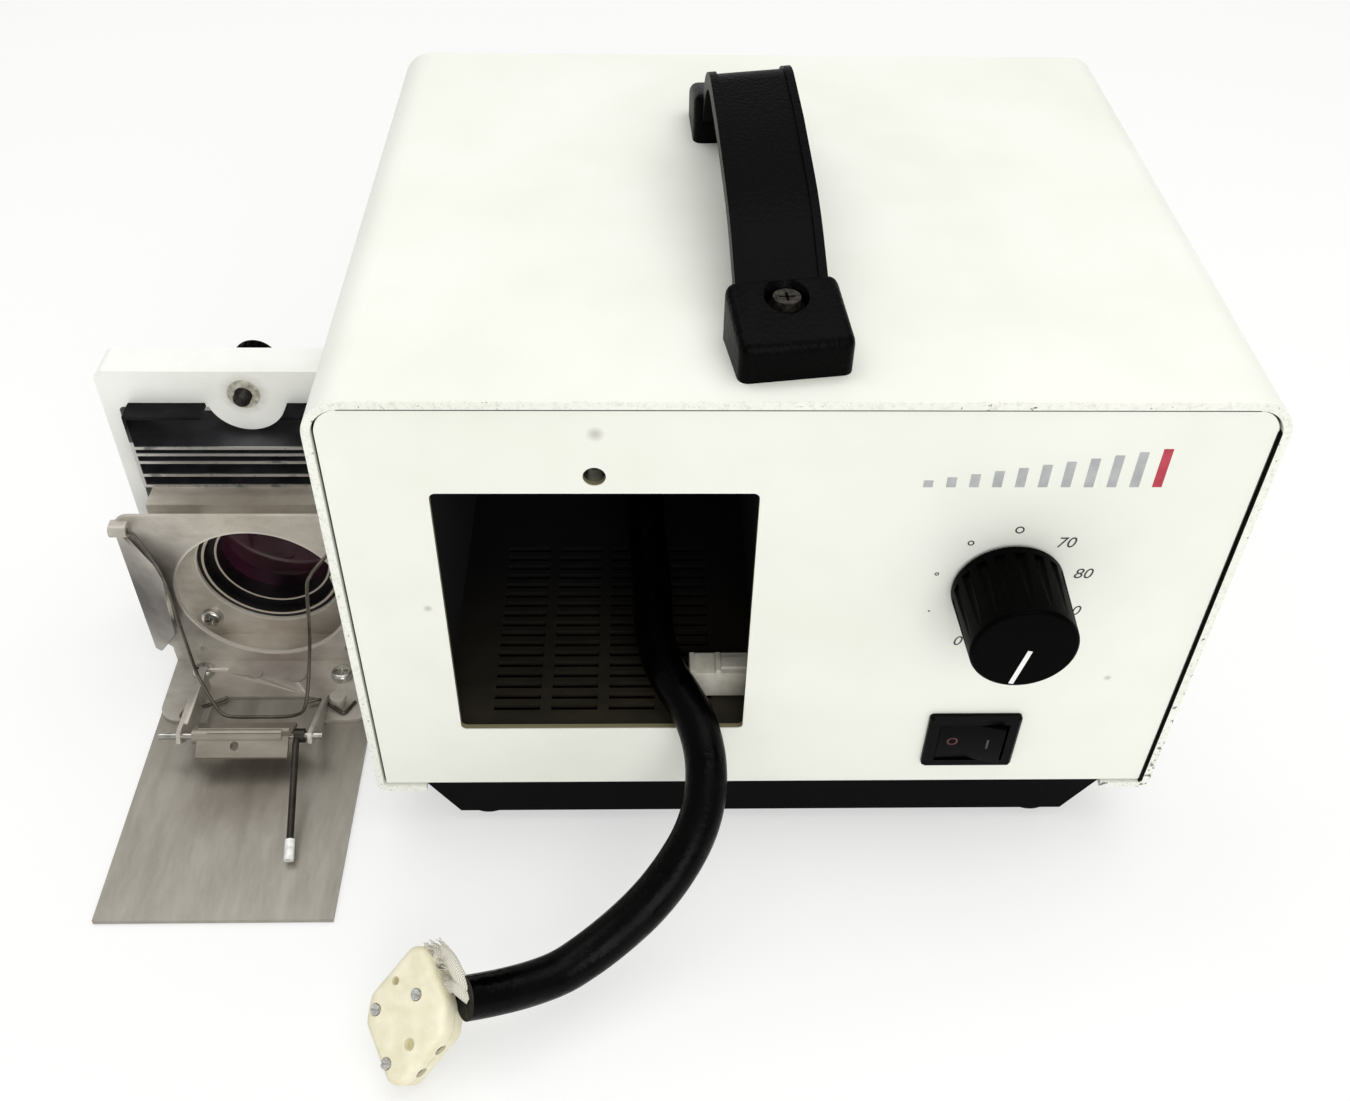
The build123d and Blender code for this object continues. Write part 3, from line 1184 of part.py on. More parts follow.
# Pressed plate on the rod, with a crest above it
def latch_plate():
    x0 = MODULE_X - 14.5
    x1 = MODULE_X + 12.0
    crest = ROD_Z + ROD_RADIUS + 1.3
    back = [
        (ROD_Y - 1.0, crest), (ROD_Y + 5.2, crest - 2.6),
        (ROD_Y + 5.0, crest - 3.8), (ROD_Y - 1.0, crest - 1.3),
    ]
    front = [
        (ROD_Y + 1.0, crest), (ROD_Y - 6.5, crest - 4.2),
        (ROD_Y - 6.1, crest - 5.4), (ROD_Y + 1.0, crest - 1.4),
    ]
    sleeve = rod_x(ROD_Y, ROD_Z, x0 - 1.5, x1 - 2, ROD_RADIUS + 1.3)
    plate = joined([slab_x(back, x0 + 3.0, x1 + 1.0), slab_x(front, x0, x1), sleeve])
    hole = rod_z(MODULE_X - 3.5, ROD_Y - 3.6, ROD_Z - 6, ROD_Z + 6, 1.2)
    bore = rod_x(ROD_Y, ROD_Z, x0 - 3, x1 + 3, ROD_RADIUS + 0.02)
    return without(plate, [hole, bore])


def lever_points():
    return [
        (MODULE_X + 14.4, ROD_Y + 1.2, ROD_Z + 0.4),
        (MODULE_X + 14.4, ROD_Y - 3.4, ROD_Z + 0.4),
        (MODULE_X + 17.0, LEVER_TIP_Y, LEVER_TIP_Z),
    ]


def latch_lever():
    hook = rod_x(ROD_Y, ROD_Z, MODULE_X + 13.5, MODULE_X + 16.4, ROD_RADIUS + 1.1)
    arm = wire(lever_points(), 3.0, LEVER_WIRE)
    bore = rod_x(ROD_Y, ROD_Z, MODULE_X + 10, MODULE_X + 20, ROD_RADIUS + 0.02)
    return arm + hook - bore


def lever_sleeve():
    points = [Vector(*p) for p in lever_points()]
    along = (points[-1] - points[-2]).normalized()
    start = points[-1] - along * 1.6
    tube = extrude(Plane(origin=start, z_dir=along) * Circle(LEVER_WIRE + 0.4), 6.0)
    bore = extrude(Plane(origin=start - along, z_dir=along) * Circle(LEVER_WIRE + 0.02), 2.6)
    return tube - bore


# Lamp lead and socket

def lead_points():
    return [(GROMMET_X, BAY_DEPTH - GROMMET_PROUD, GROMMET_Z)] + LEAD_POINTS


def lead_radii():
    points = [Vector(*p) for p in lead_points()]
    radii = []
    for before, here, after in zip(points, points[1:], points[2:]):
        turn = (here - before).get_angle(after - here)
        run = min((here - before).length, (after - here).length)
        radii.append(0.45 * run / math.tan(math.radians(turn) / 2))
    return radii


def lamp_lead():
    radii = lead_radii()
    path = FilletPolyline([Vector(*p) for p in lead_points()], radius=radii)
    start = Plane(origin=path @ 0, z_dir=path % 0)
    tube = sweep(start * Circle(LEAD_RADIUS), path=path)
    print("lead length", round(path.length, 1), "radii", [round(r, 1) for r in radii])
    print(
        "lead volume over section times length",
        round(tube.volume / (math.pi * LEAD_RADIUS**2 * path.length), 4),
    )
    return tube


def socket_frame():
    pitch, roll, yaw = SOCKET_TURNS
    return Pos(*SOCKET_CENTRE) * Rot(0, 0, yaw) * Rot(0, roll, 0) * Rot(pitch, 0, 0)


def socket_outline():
    half_w = SOCKET_WIDTH / 2
    half_l = SOCKET_LENGTH / 2
    corners = []
    for sx, sy in ((1, 1), (-1, 1), (-1, -1), (1, -1)):
        pair = [
            (sx * half_w, sy * (half_l - SOCKET_CORNER_Y)), (sx * (half_w - SOCKET_CORNER_X), sy * half_l),
        ]
        corners += pair if sx == sy else pair[::-1]
    return corners


def socket_screw_places():
    return [(-8.6, 0.1), (2.4, 5.0), (-2.9, -11.6)]


# Two holes in the upper right corner face take the bare wires, each with its outward direction
def wire_mouths():
    half_w = SOCKET_WIDTH / 2
    half_l = SOCKET_LENGTH / 2
    outward = Vector(SOCKET_CORNER_Y, SOCKET_CORNER_X, 0).normalized()
    mouths = []
    for share in (0.32, 0.72):
        x = half_w - SOCKET_CORNER_X * share
        y = half_l - SOCKET_CORNER_Y * (1 - share)
        mouths.append((Vector(x, y, 0), outward))
    return mouths


def socket_half(z0, z1):
    half = slab_z(socket_outline(), z0, z1)
    top = SOCKET_THICKNESS / 2
    cuts = [rod_z(x, y, -top - 1, top + 1, 1.15) for x, y in socket_screw_places()]
    cuts += [rod_z(x, y, top - 0.8, top + 1, 2.0) for x, y in socket_screw_places()]
    cuts += [rod_z(2.8, -6.4, top - 2, top + 1, 1.5), rod_z(-4.3, 7.4, top - 2, top + 1, 1.1)]
    for mouth, outward in wire_mouths():
        cuts.append(
            extrude(Plane(origin=mouth - outward * 4.5, z_dir=outward) * Circle(WIRE_RADIUS + 0.3), 6.0)
        )
    low_x = SOCKET_WIDTH / 2 - SOCKET_CORNER_X / 2
    low_y = -SOCKET_LENGTH / 2 + SOCKET_CORNER_Y / 2
    inward = Vector(-SOCKET_CORNER_Y, SOCKET_CORNER_X, 0).normalized()
    side = Vector(SOCKET_CORNER_X, SOCKET_CORNER_Y, 0).normalized()
    for shift in (-3.6, 3.6):
        mouth = Vector(low_x, low_y, 0) + side * shift - inward
        cuts.append(extrude(Plane(origin=mouth, z_dir=inward) * Circle(1.5), 4.5))
    return without(half, cuts)


def lamp_socket_base():
    return socket_frame() * socket_half(-SOCKET_THICKNESS / 2, -SOCKET_SEAM / 2)


def lamp_socket_cover():
    return socket_frame() * socket_half(SOCKET_SEAM / 2, SOCKET_THICKNESS / 2)


def socket_screws():
    screws = []
    for x, y in socket_screw_places():
        seat = SOCKET_THICKNESS / 2 - 0.8
        head = rod_z(x, y, seat, seat + 1.2, 1.9)
        slot = block(x - 2, x + 2, y - 0.3, y + 0.3, seat + 0.7, seat + 2)
        screws.append(head - slot + rod_z(x, y, -SOCKET_THICKNESS / 2 + 0.5, seat + 0.5, 1.1))
    return socket_frame() * Compound(screws)


# Bare wires run from the sleeve's end round into the socket's corner face
def lead_wires():
    points = [Vector(*p) for p in lead_points()]
    end = points[-1]
    along = (end - points[-2]).normalized()
    across = along.cross(Vector(0, 0, 1)).normalized()
    wires = []
    for side, mouth in zip((1, -1), wire_mouths()):
        place, outward = mouth
        spots = [place + outward * 5.0, place + outward * 0.6, place - outward * 3.5]
        far, near, inside = [(socket_frame() * Vertex(p.X, p.Y, p.Z)).center() for p in spots]
        start = end + across * (side * 2.4)
        bend = Bezier(start, start + along * 3.4, far, near)
        path = Wire([bend, Line(near, inside)])
        wires.append(sweep(Plane(origin=start, z_dir=along) * Circle(WIRE_RADIUS), path=path))
    return Compound(wires)


os.makedirs("parts", exist_ok=True)
for piece in (
    chassis_pan, rubber_feet, wrap_cover, cover_screws, front_panel, rear_panel,
    lamp_bay_floor, lamp_bay_walls, lamp_connector, lead_grommet, interlock_switch, clinch_nut,
    transformer_core, transformer_winding, heat_spreader, psu_board, board_standoffs,
    capacitors, power_transistors,
    potentiometer, dial_nut, dial_shaft, intensity_knob, knob_pointer, rocker_bezel, rocker_paddle,
    handle_front_cap, handle_rear_cap, handle_strap, handle_screws,
    fan_frame, fan_rotor, fan_guard, fan_screws, power_inlet, inlet_screws,
    module_base_plate, lamp_bracket, module_screws, latch_spring, heat_shield,
    filter_ring, filter_glass, port_tube, port_lock_screw, light_baffle, door_pan, thumb_screw, thumb_knob,
    lamp_bail, latch_rod, latch_plate, latch_lever, lever_sleeve,
    lamp_lead, lamp_socket_base, lamp_socket_cover, socket_screws, lead_wires,
):
    write(piece.__name__, piece())
print("origin", ORIGIN_X, ORIGIN_Y)
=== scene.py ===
import json
import math
import random

import bmesh
import bpy
from mathutils import Matrix, Vector


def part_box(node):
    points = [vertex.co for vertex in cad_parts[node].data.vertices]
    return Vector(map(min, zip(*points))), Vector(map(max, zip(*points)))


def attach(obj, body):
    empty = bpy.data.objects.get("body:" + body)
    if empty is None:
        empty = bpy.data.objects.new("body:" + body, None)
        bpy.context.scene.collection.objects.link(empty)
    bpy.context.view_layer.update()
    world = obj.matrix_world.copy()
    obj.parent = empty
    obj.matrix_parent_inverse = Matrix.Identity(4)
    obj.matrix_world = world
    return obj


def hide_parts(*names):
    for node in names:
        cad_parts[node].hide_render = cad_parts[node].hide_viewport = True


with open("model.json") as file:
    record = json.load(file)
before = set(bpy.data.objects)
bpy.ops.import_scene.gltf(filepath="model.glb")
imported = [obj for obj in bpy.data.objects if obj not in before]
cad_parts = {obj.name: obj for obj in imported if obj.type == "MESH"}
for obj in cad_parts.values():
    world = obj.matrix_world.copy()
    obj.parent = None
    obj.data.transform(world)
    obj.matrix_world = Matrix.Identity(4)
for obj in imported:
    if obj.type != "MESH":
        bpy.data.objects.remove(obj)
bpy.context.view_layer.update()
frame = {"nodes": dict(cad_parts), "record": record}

random.seed(7)


def bench(x, y, z):  # millimetres from the middle of the case front, to the frame's metres
    return Vector(((x + 41.75) / 1000, (y - 73.25) / 1000, z / 1000))


def linear(hexColour):
    channels = [int(hexColour[i:i + 2], 16) / 255 for i in (1, 3, 5)]
    return [c / 12.92 if c <= 0.04045 else ((c + 0.055) / 1.055) ** 2.4 for c in channels] + [1.0]


def addNode(tree, kind, inputs=None, stops=(), **settings):  # a node among the inputs gives its first output in use
    node = tree.nodes.new("ShaderNode" + kind)
    for name, value in settings.items():
        setattr(node, name, value)
    for name, value in (inputs or {}).items():
        if isinstance(value, bpy.types.Node):
            value = next(output for output in value.outputs if output.enabled)
        if isinstance(value, bpy.types.NodeSocket):
            tree.links.new(value, node.inputs[name])
        else:
            node.inputs[name].default_value = value
    for index, (position, hexColour) in enumerate(stops):
        node.color_ramp.elements[index].position = position
        node.color_ramp.elements[index].color = linear(hexColour)
    return node


def newFinish(name):
    finish = bpy.data.materials.new(name)
    finish.use_nodes = True
    tree = finish.node_tree
    tree.nodes.clear()
    return finish, tree, addNode(tree, "TexCoord").outputs["Object"]


def surfaced(finish, inputs):
    shader = addNode(finish.node_tree, "BsdfPrincipled", inputs)
    addNode(finish.node_tree, "OutputMaterial", {"Surface": shader})
    return finish


def newObject(name, data):
    thing = bpy.data.objects.new(name, data)
    bpy.context.scene.collection.objects.link(thing)
    return thing


# camera, as the photograph was taken
lens = dict(focal=1351.03, width=1350, sensor=36, pitch=42.897, yaw=-1.9015, roll=1.2245,
            place=(-34.262, -231.305, 322.173))
pitch, yaw, roll = (math.radians(lens[key]) for key in ("pitch", "yaw", "roll"))
swing = Matrix.Rotation(yaw, 3, "Z")
ahead = swing @ Vector((0, math.cos(pitch), -math.sin(pitch)))
upward = swing @ Vector((0, math.sin(pitch), math.cos(pitch)))
sideways = swing @ Vector((1, 0, 0))
right = math.cos(roll) * sideways + math.sin(roll) * upward
top = -math.sin(roll) * sideways + math.cos(roll) * upward
cameraData = bpy.data.cameras.new("photoCamera")
cameraData.sensor_width = lens["sensor"]
cameraData.lens = lens["focal"] / lens["width"] * lens["sensor"]
cameraData.clip_start = 0.01
camera = newObject("photoCamera", cameraData)
camera.matrix_world = Matrix.Translation(bench(*lens["place"])) @ Matrix((right, top, -ahead)).transposed().to_4x4()
bpy.context.scene.camera = camera
print("camera set")


# the lamp module's middle, its ring's centre as seen from the front, and the screw in its door
moduleX = -149.4
screwZ = 87.5
withoutDepth = Vector((1, 0, 1))
ringCentre = bench(moduleX, 0, 31.5) * withoutDepth
doorScrew = bench(moduleX, 88, screwZ)


# finishes, from what each real one is

def bakedEnamel():  # sprayed and baked enamel on sheet steel: faint orange peel, soft gloss, cut edges left bare
    look = dict(face="#F2F3EA", shade="#EDEEE3", smudge="#8F8B7C", cutEdge="#8E8867", chip="#6C6A62", fleck="#B4B0A2",
                seam="#26251F", peel=0.0011, cloud=0.05, window=((-84, 0.25, 0), (-5, 1.7, 136)), lip=(2.0, -0.9),
                corner=(104, 0, 24), spread=0.06, edge=-0.3, gap=(0.0002, 0.00048), bend=0.0055, shift=0.0018,
                gapFront=(0.7, 0.00145),
                smudges=(((-44.4, 0, 141.5), 0.0022), ((-86.2, 0, 88.0), 0.0013), ((86.0, 0, 62.0), 0.0012)))
    finish, tree, place = newFinish("bakedEnamel")
    cloud = addNode(tree, "TexNoise", {"Vector": place, "Scale": 1 / look["cloud"], "Detail": 3.0})
    colour = addNode(tree, "ValToRGB", {"Fac": cloud}, [(0.35, look["shade"]), (0.62, look["face"])])
    split = addNode(tree, "SeparateXYZ", {"Vector": place})
    # bare sheet shows where the panel's window and holes are cut
    low, high = (bench(*end) for end in look["window"])
    window = (("Y", "GREATER_THAN", low.y), ("Y", "LESS_THAN", high.y), ("X", "LESS_THAN", high.x),
              ("X", "GREATER_THAN", low.x), ("Z", "LESS_THAN", high.z))
    cut = 1.0
    for axis, side, level in window:
        within = addNode(tree, "Math", {0: split.outputs[axis], 1: level}, operation=side)
        cut = addNode(tree, "Math", {0: cut, 1: within}, operation="MULTIPLY")
    # chips along the cover's front lip, thickest at its lower right corner
    speck = addNode(tree, "TexNoise", {"Vector": place, "Scale": 420.0, "Detail": 4.0, "Roughness": 0.7})
    start, end = (bench(0, y, 0).y for y in look["lip"])
    lip = addNode(tree, "MapRange", {"Value": split.outputs["Y"], 1: start, 2: end})
    corner = addNode(tree, "VectorMath", {0: place, 1: bench(*look["corner"])}, operation="DISTANCE")
    near = addNode(tree, "MapRange", {"Value": corner, 1: 0.0, 2: look["spread"], 3: 0.1, 4: 0.0})
    reach = addNode(tree, "Math", {0: speck, 1: near}, operation="ADD")
    worn = addNode(tree, "Math", {0: reach, 1: lip}, operation="MULTIPLY")
    chips = addNode(tree, "MapRange", {"Value": worn, 1: 0.62, 2: 0.66})
    # three small smudges on the front panel
    smudges = 0.0
    for centre, size in look["smudges"]:
        away = addNode(tree, "VectorMath", {0: place, 1: bench(*centre)}, operation="DISTANCE")
        soft = addNode(tree, "MapRange", {"Value": away, 1: size * 0.2, 2: size, 3: 0.5, 4: 0.0})
        smudges = addNode(tree, "Math", {0: smudges, 1: soft}, operation="ADD")
    # grey specks of handling on the lip's edge
    grime = addNode(tree, "TexNoise", {"Vector": place, "Scale": 900.0, "Detail": 5.0, "Roughness": 0.75})
    rim = addNode(tree, "Math", {0: split.outputs["Y"], 1: bench(0, look["edge"], 0).y}, operation="LESS_THAN")
    flecks = addNode(tree, "MapRange", {"Value": grime, 1: 0.5, 2: 0.72, 3: 0.0, 4: 0.5})
    flecks = addNode(tree, "Math", {0: flecks, 1: rim}, operation="MULTIPLY")
    # painted shade: the narrow space between panel and cover is painted dark
    panelLow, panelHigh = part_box("front_panel")
    middle, halfPanel = (panelLow.x + panelHigh.x) / 2, (panelHigh.x - panelLow.x) / 2
    fromMiddle = addNode(tree, "Math", {0: split.outputs["X"], 1: middle}, operation="SUBTRACT")
    fromMiddle = addNode(tree, "Math", {0: fromMiddle}, operation="ABSOLUTE")
    pastSide = addNode(tree, "Math", {0: fromMiddle, 1: halfPanel}, operation="SUBTRACT")
    pastTop = addNode(tree, "Math", {0: split.outputs["Z"], 1: panelHigh.z}, operation="SUBTRACT")
    past = addNode(tree, "Math", {0: pastSide, 1: pastTop}, operation="MAXIMUM")
    middleOfGap, halfGap = look["gap"]
    gap = addNode(tree, "Math", {0: past, 1: middleOfGap, 2: halfGap}, operation="COMPARE")
    other = addNode(tree, "Math", {0: pastSide, 1: pastTop}, operation="MINIMUM")
    straight = addNode(tree, "Math", {0: other, 1: -look["bend"]}, operation="LESS_THAN")
    # on the left, where it is seen along its depth, the painted shade starts only 1 mm in
    onSide = addNode(tree, "Math", {0: pastSide, 1: pastTop}, operation="GREATER_THAN")
    onLeft = addNode(tree, "Math", {0: split.outputs["X"], 1: middle}, operation="LESS_THAN")
    deeper = addNode(tree, "Math", {0: onSide, 1: onLeft}, operation="MULTIPLY")
    deeper = addNode(tree, "Math", {0: deeper, 1: look["shift"]}, operation="MULTIPLY")
    depth = addNode(tree, "Math", {0: split.outputs["Y"], 1: deeper}, operation="SUBTRACT")
    frontAt, halfFront = look["gapFront"]
    front = addNode(tree, "Math", {0: depth, 1: bench(0, frontAt, 0).y, 2: halfFront}, operation="COMPARE")
    for limit in (straight, front):
        gap = addNode(tree, "Math", {0: gap, 1: limit}, operation="MULTIPLY")
    # the last layer, the seam colour, is painted shade in the space round the panel
    for amount, over in ((smudges, "smudge"), (cut, "cutEdge"), (chips, "chip"), (flecks, "fleck"), (gap, "seam")):
        colour = addNode(tree, "Mix", {"Factor": amount, "A": colour, "B": linear(look[over])}, data_type="RGBA")
    peel = addNode(tree, "TexNoise", {"Vector": place, "Scale": 1 / look["peel"], "Detail": 2.0})
    bump = addNode(tree, "Bump", {"Height": peel, "Strength": 0.05, "Distance": 0.0003})
    return surfaced(finish, {"Base Color": colour, "Roughness": 0.36, "Normal": bump})


def doorEnamel():  # the same enamel on the module's door, greyer from handling round its screw
    # its enamel is painted lighter than the case's, painted light against the shade the door sits in
    look = dict(face="#F9F9F4", shade="#EFF0E9", rubbed="#6E6B60", peel=0.0011, rub=(0.004, 0.0075, 0.55))
    finish, tree, place = newFinish("doorEnamel")
    cloud = addNode(tree, "TexNoise", {"Vector": place, "Scale": 45.0, "Detail": 5.0})
    face = addNode(tree, "ValToRGB", {"Fac": cloud}, [(0.36, look["shade"]), (0.6, look["face"])])
    away = addNode(tree, "VectorMath", {0: place, 1: doorScrew}, operation="DISTANCE")
    inside, outside, amount = look["rub"]
    rub = addNode(tree, "MapRange", {"Value": away, 1: inside, 2: outside, 3: amount, 4: 0.0})
    grain = addNode(tree, "TexNoise", {"Vector": place, "Scale": 700.0, "Detail": 3.0})
    patch = addNode(tree, "Math", {0: rub, 1: grain}, operation="MULTIPLY")
    marked = addNode(tree, "Mix", {"Factor": patch, "A": face, "B": linear(look["rubbed"])}, data_type="RGBA")
    peel = addNode(tree, "TexNoise", {"Vector": place, "Scale": 1 / look["peel"], "Detail": 2.0})
    bump = addNode(tree, "Bump", {"Height": peel, "Strength": 0.06, "Distance": 0.0003})
    return surfaced(finish, {"Base Color": marked, "Roughness": 0.38, "Normal": bump})


def blackPlastic(name, dark, light, grain, strength, roughness, specular):  # moulded black plastic
    finish, tree, place = newFinish(name)
    cloud = addNode(tree, "TexNoise", {"Vector": place, "Scale": 90.0, "Detail": 4.0})
    tone = addNode(tree, "ValToRGB", {"Fac": cloud}, [(0.3, dark), (0.75, light)])
    pores = addNode(tree, "TexNoise", {"Vector": place, "Scale": 1 / grain, "Detail": 3.0})
    bump = addNode(tree, "Bump", {"Height": pores, "Strength": strength, "Distance": 0.0002})
    return surfaced(finish, {"Base Color": tone, "Roughness": roughness, "Specular IOR Level": specular,
                             "Normal": bump})


def leatherGrain():  # black vinyl moulding with a leather grain of about 1.1 mm pebbles
    look = dict(pebble=0.0011, crease="#010101", top="#030304")
    finish, tree, place = newFinish("leatherGrainVinyl")
    warp = addNode(tree, "TexNoise", {"Vector": place, "Scale": 600.0, "Detail": 2.0})
    shift = addNode(tree, "VectorMath", {0: warp.outputs["Color"], "Scale": 0.0012}, operation="SCALE")
    moved = addNode(tree, "VectorMath", {0: place, 1: shift}, operation="ADD")
    pebbles = addNode(tree, "TexVoronoi", {"Vector": moved, "Scale": 1 / look["pebble"], "Smoothness": 0.4},
                      feature="SMOOTH_F1")
    tone = addNode(tree, "ValToRGB", {"Fac": pebbles}, [(0.15, look["top"]), (0.6, look["crease"])])
    bump = addNode(tree, "Bump", {"Height": pebbles, "Strength": 0.45, "Distance": 0.00025}, invert=True)
    return surfaced(finish, {"Base Color": tone, "Roughness": 0.38, "Specular IOR Level": 0.045, "Normal": bump})


def millSteel(name, look):  # rolled sheet, streaked along its rolling direction, with darker patches round given points, some of them painted shade
    finish, tree, place = newFinish(name)
    stretch = addNode(tree, "Mapping", {"Vector": place, "Scale": look["streak"]})
    streaks = addNode(tree, "TexNoise", {"Vector": stretch, "Scale": 120.0, "Detail": 6.0, "Roughness": 0.65})
    colour = addNode(tree, "ValToRGB", {"Fac": streaks}, [(0.3, look["dark"]), (0.7, look["light"])])
    layers = []
    for centre, inside, outside, amount, patchColour in look.get("stains", ()):
        away = addNode(tree, "VectorMath", {0: place, 1: bench(*centre)}, operation="DISTANCE")
        cloud = addNode(tree, "TexNoise", {"Vector": place, "Scale": 110.0, "Detail": 3.0})
        wobble = addNode(tree, "Math", {0: cloud, 1: 0.012, 2: away}, operation="MULTIPLY_ADD")
        layers.append((addNode(tree, "MapRange", {"Value": wobble, 1: inside, 2: outside, 3: amount, 4: 0.0}), patchColour))
    if "fade" in look:  # painted shade, darker deeper in the bay
        near, far = (bench(0, y, 0).y for y in look["fade"])
        depth = addNode(tree, "SeparateXYZ", {"Vector": place}).outputs["Y"]
        layers.append((addNode(tree, "MapRange", {"Value": depth, 1: near, 2: far}), "#020202"))
    if "rim" in look:  # painted highlight along the punched hole's edge
        flat = addNode(tree, "VectorMath", {0: place, 1: withoutDepth}, operation="MULTIPLY")
        away = addNode(tree, "VectorMath", {0: flat, 1: ringCentre}, operation="DISTANCE")
        rim = addNode(tree, "MapRange", {"Value": away, 1: look["rim"], 2: look["rim"] + 0.0007, 3: 0.85, 4: 0.0})
        layers.append((rim, "#E6E0D4"))
    for amount, over in layers:
        colour = addNode(tree, "Mix", {"Factor": amount, "A": colour, "B": linear(over)}, data_type="RGBA")
    rough = addNode(tree, "MapRange", {"Value": streaks, 3: look["rough"] - 0.1, 4: look["rough"] + 0.12})
    bump = addNode(tree, "Bump", {"Height": streaks, "Strength": 0.12, "Distance": 0.0002})
    return surfaced(finish, {"Base Color": colour, "Metallic": look["metal"], "Roughness": rough, "Normal": bump})


def bladeBlack():  # black-painted baffle whose front edges are rubbed bright, with painted shade towards its top
    look = dict(dark="#1B1B1E", light="#37373B", rubbed="#C9C7C2", shaded="#0B0B0C", edge=(0, 81.35, 75),
                shade=(74, 80), dull=(76, 81))
    finish, tree, place = newFinish("bladeBlack")
    split = addNode(tree, "SeparateXYZ", {"Vector": place})
    height = split.outputs["Z"]
    end = bench(*look["edge"])
    front = addNode(tree, "Math", {0: split.outputs["Y"], 1: end.y}, operation="LESS_THAN")
    low = addNode(tree, "Math", {0: height, 1: end.z}, operation="LESS_THAN")
    edge = addNode(tree, "Math", {0: front, 1: low}, operation="MULTIPLY")
    speck = addNode(tree, "TexNoise", {"Vector": place, "Scale": 160.0, "Detail": 4.0})
    patchy = addNode(tree, "MapRange", {"Value": speck, 1: 0.36, 2: 0.48, 3: 0.25, 4: 1.0})
    bare = addNode(tree, "Math", {0: edge, 1: patchy}, operation="MULTIPLY")
    colour = addNode(tree, "ValToRGB", {"Fac": speck}, [(0.3, look["dark"]), (0.7, look["light"])])
    shadeLow, shadeHigh, dullLow, dullHigh = (bench(0, 0, z).z for z in look["shade"] + look["dull"])
    # painted shade: darker towards the baffle's top
    high = addNode(tree, "MapRange", {"Value": height, 1: shadeLow, 2: shadeHigh, 3: 0.0, 4: 0.75})
    for amount, over in ((bare, "rubbed"), (high, "shaded")):
        colour = addNode(tree, "Mix", {"Factor": amount, "A": colour, "B": linear(look[over])}, data_type="RGBA")
    matt = addNode(tree, "MapRange", {"Value": height, 1: dullLow, 2: dullHigh, 3: 0.5, 4: 0.03})
    bump = addNode(tree, "Bump", {"Height": speck, "Strength": 0.1, "Distance": 0.0002})
    return surfaced(finish, {"Base Color": colour, "Metallic": bare, "Roughness": 0.45, "Specular IOR Level": matt,
                             "Normal": bump})


def blackedRing():  # black-anodised ring, its two turned edges coloured bright
    look = dict(dark="#060505", light="#151113", polished="#C6BDAE", edges=((0.0205, 0.0004), (0.0174, 0.00033)))
    finish, tree, place = newFinish("blackedRing")
    flat = addNode(tree, "VectorMath", {0: place, 1: withoutDepth}, operation="MULTIPLY")
    away = addNode(tree, "VectorMath", {0: flat, 1: ringCentre}, operation="DISTANCE")
    outer, inner = (addNode(tree, "Math", {0: away, 1: radius, 2: half}, operation="COMPARE")
                    for radius, half in look["edges"])
    bare = addNode(tree, "Math", {0: outer, 1: inner}, operation="MAXIMUM")
    cloud = addNode(tree, "TexNoise", {"Vector": place, "Scale": 200.0, "Detail": 4.0})
    tone = addNode(tree, "ValToRGB", {"Fac": cloud}, [(0.3, look["dark"]), (0.7, look["light"])])
    mixed = addNode(tree, "Mix", {"Factor": bare, "A": tone, "B": linear(look["polished"])}, data_type="RGBA")
    bump = addNode(tree, "Bump", {"Height": cloud, "Strength": 0.08, "Distance": 0.0002})
    return surfaced(finish, {"Base Color": mixed, "Metallic": 0.2, "Roughness": 0.36, "Normal": bump})


def filterCoating():  # dichroic heat filter: dark magenta glass with a mirror-like surface
    finish, tree, place = newFinish("dichroicFilter")
    cloud = addNode(tree, "TexNoise", {"Vector": place, "Scale": 60.0, "Detail": 2.0})
    tone = addNode(tree, "ValToRGB", {"Fac": cloud}, [(0.3, "#16050E"), (0.7, "#461A31")])
    return surfaced(finish, {"Base Color": tone, "Metallic": 0.35, "Roughness": 0.06, "Coat Weight": 0.6})


def mottled(name, dark, light, size, roughness, strength=0.1, metallic=0.0, grain=0.0006, specular=0.5):
    # an even finish whose tone drifts a little, with fine pores in its gloss
    finish, tree, place = newFinish(name)
    cloud = addNode(tree, "TexNoise", {"Vector": place, "Scale": 1 / size, "Detail": 5.0})
    tone = addNode(tree, "ValToRGB", {"Fac": cloud}, [(0.32, dark), (0.68, light)])
    pores = addNode(tree, "TexNoise", {"Vector": place, "Scale": 1 / grain, "Detail": 3.0})
    bump = addNode(tree, "Bump", {"Height": pores, "Strength": strength, "Distance": 0.0002})
    return surfaced(finish, {"Base Color": tone, "Metallic": metallic, "Roughness": roughness,
                             "Specular IOR Level": specular, "Normal": bump})


def varnishedSleeve():  # glass sleeve soaked in black varnish: glossy, dented, with long soft wrinkles
    look = dict(dark="#010101", light="#030304", dent=0.009, weave=0.0009)
    finish, tree, place = newFinish("varnishedSleeve")
    dents = addNode(tree, "TexNoise", {"Vector": place, "Scale": 1 / look["dent"], "Detail": 4.0, "Roughness": 0.55})
    weave = addNode(tree, "TexVoronoi", {"Vector": place, "Scale": 1 / look["weave"]})
    tone = addNode(tree, "ValToRGB", {"Fac": dents}, [(0.3, look["dark"]), (0.7, look["light"])])
    rough = addNode(tree, "MapRange", {"Value": dents, 1: 0.3, 2: 0.7, 3: 0.16, 4: 0.42})
    fine = addNode(tree, "Bump", {"Height": weave, "Strength": 0.12, "Distance": 0.0002})
    bump = addNode(tree, "Bump", {"Height": dents, "Strength": 0.5, "Distance": 0.0012, "Normal": fine})
    return surfaced(finish, {"Base Color": tone, "Roughness": rough, "Specular IOR Level": 0.07, "Normal": bump})


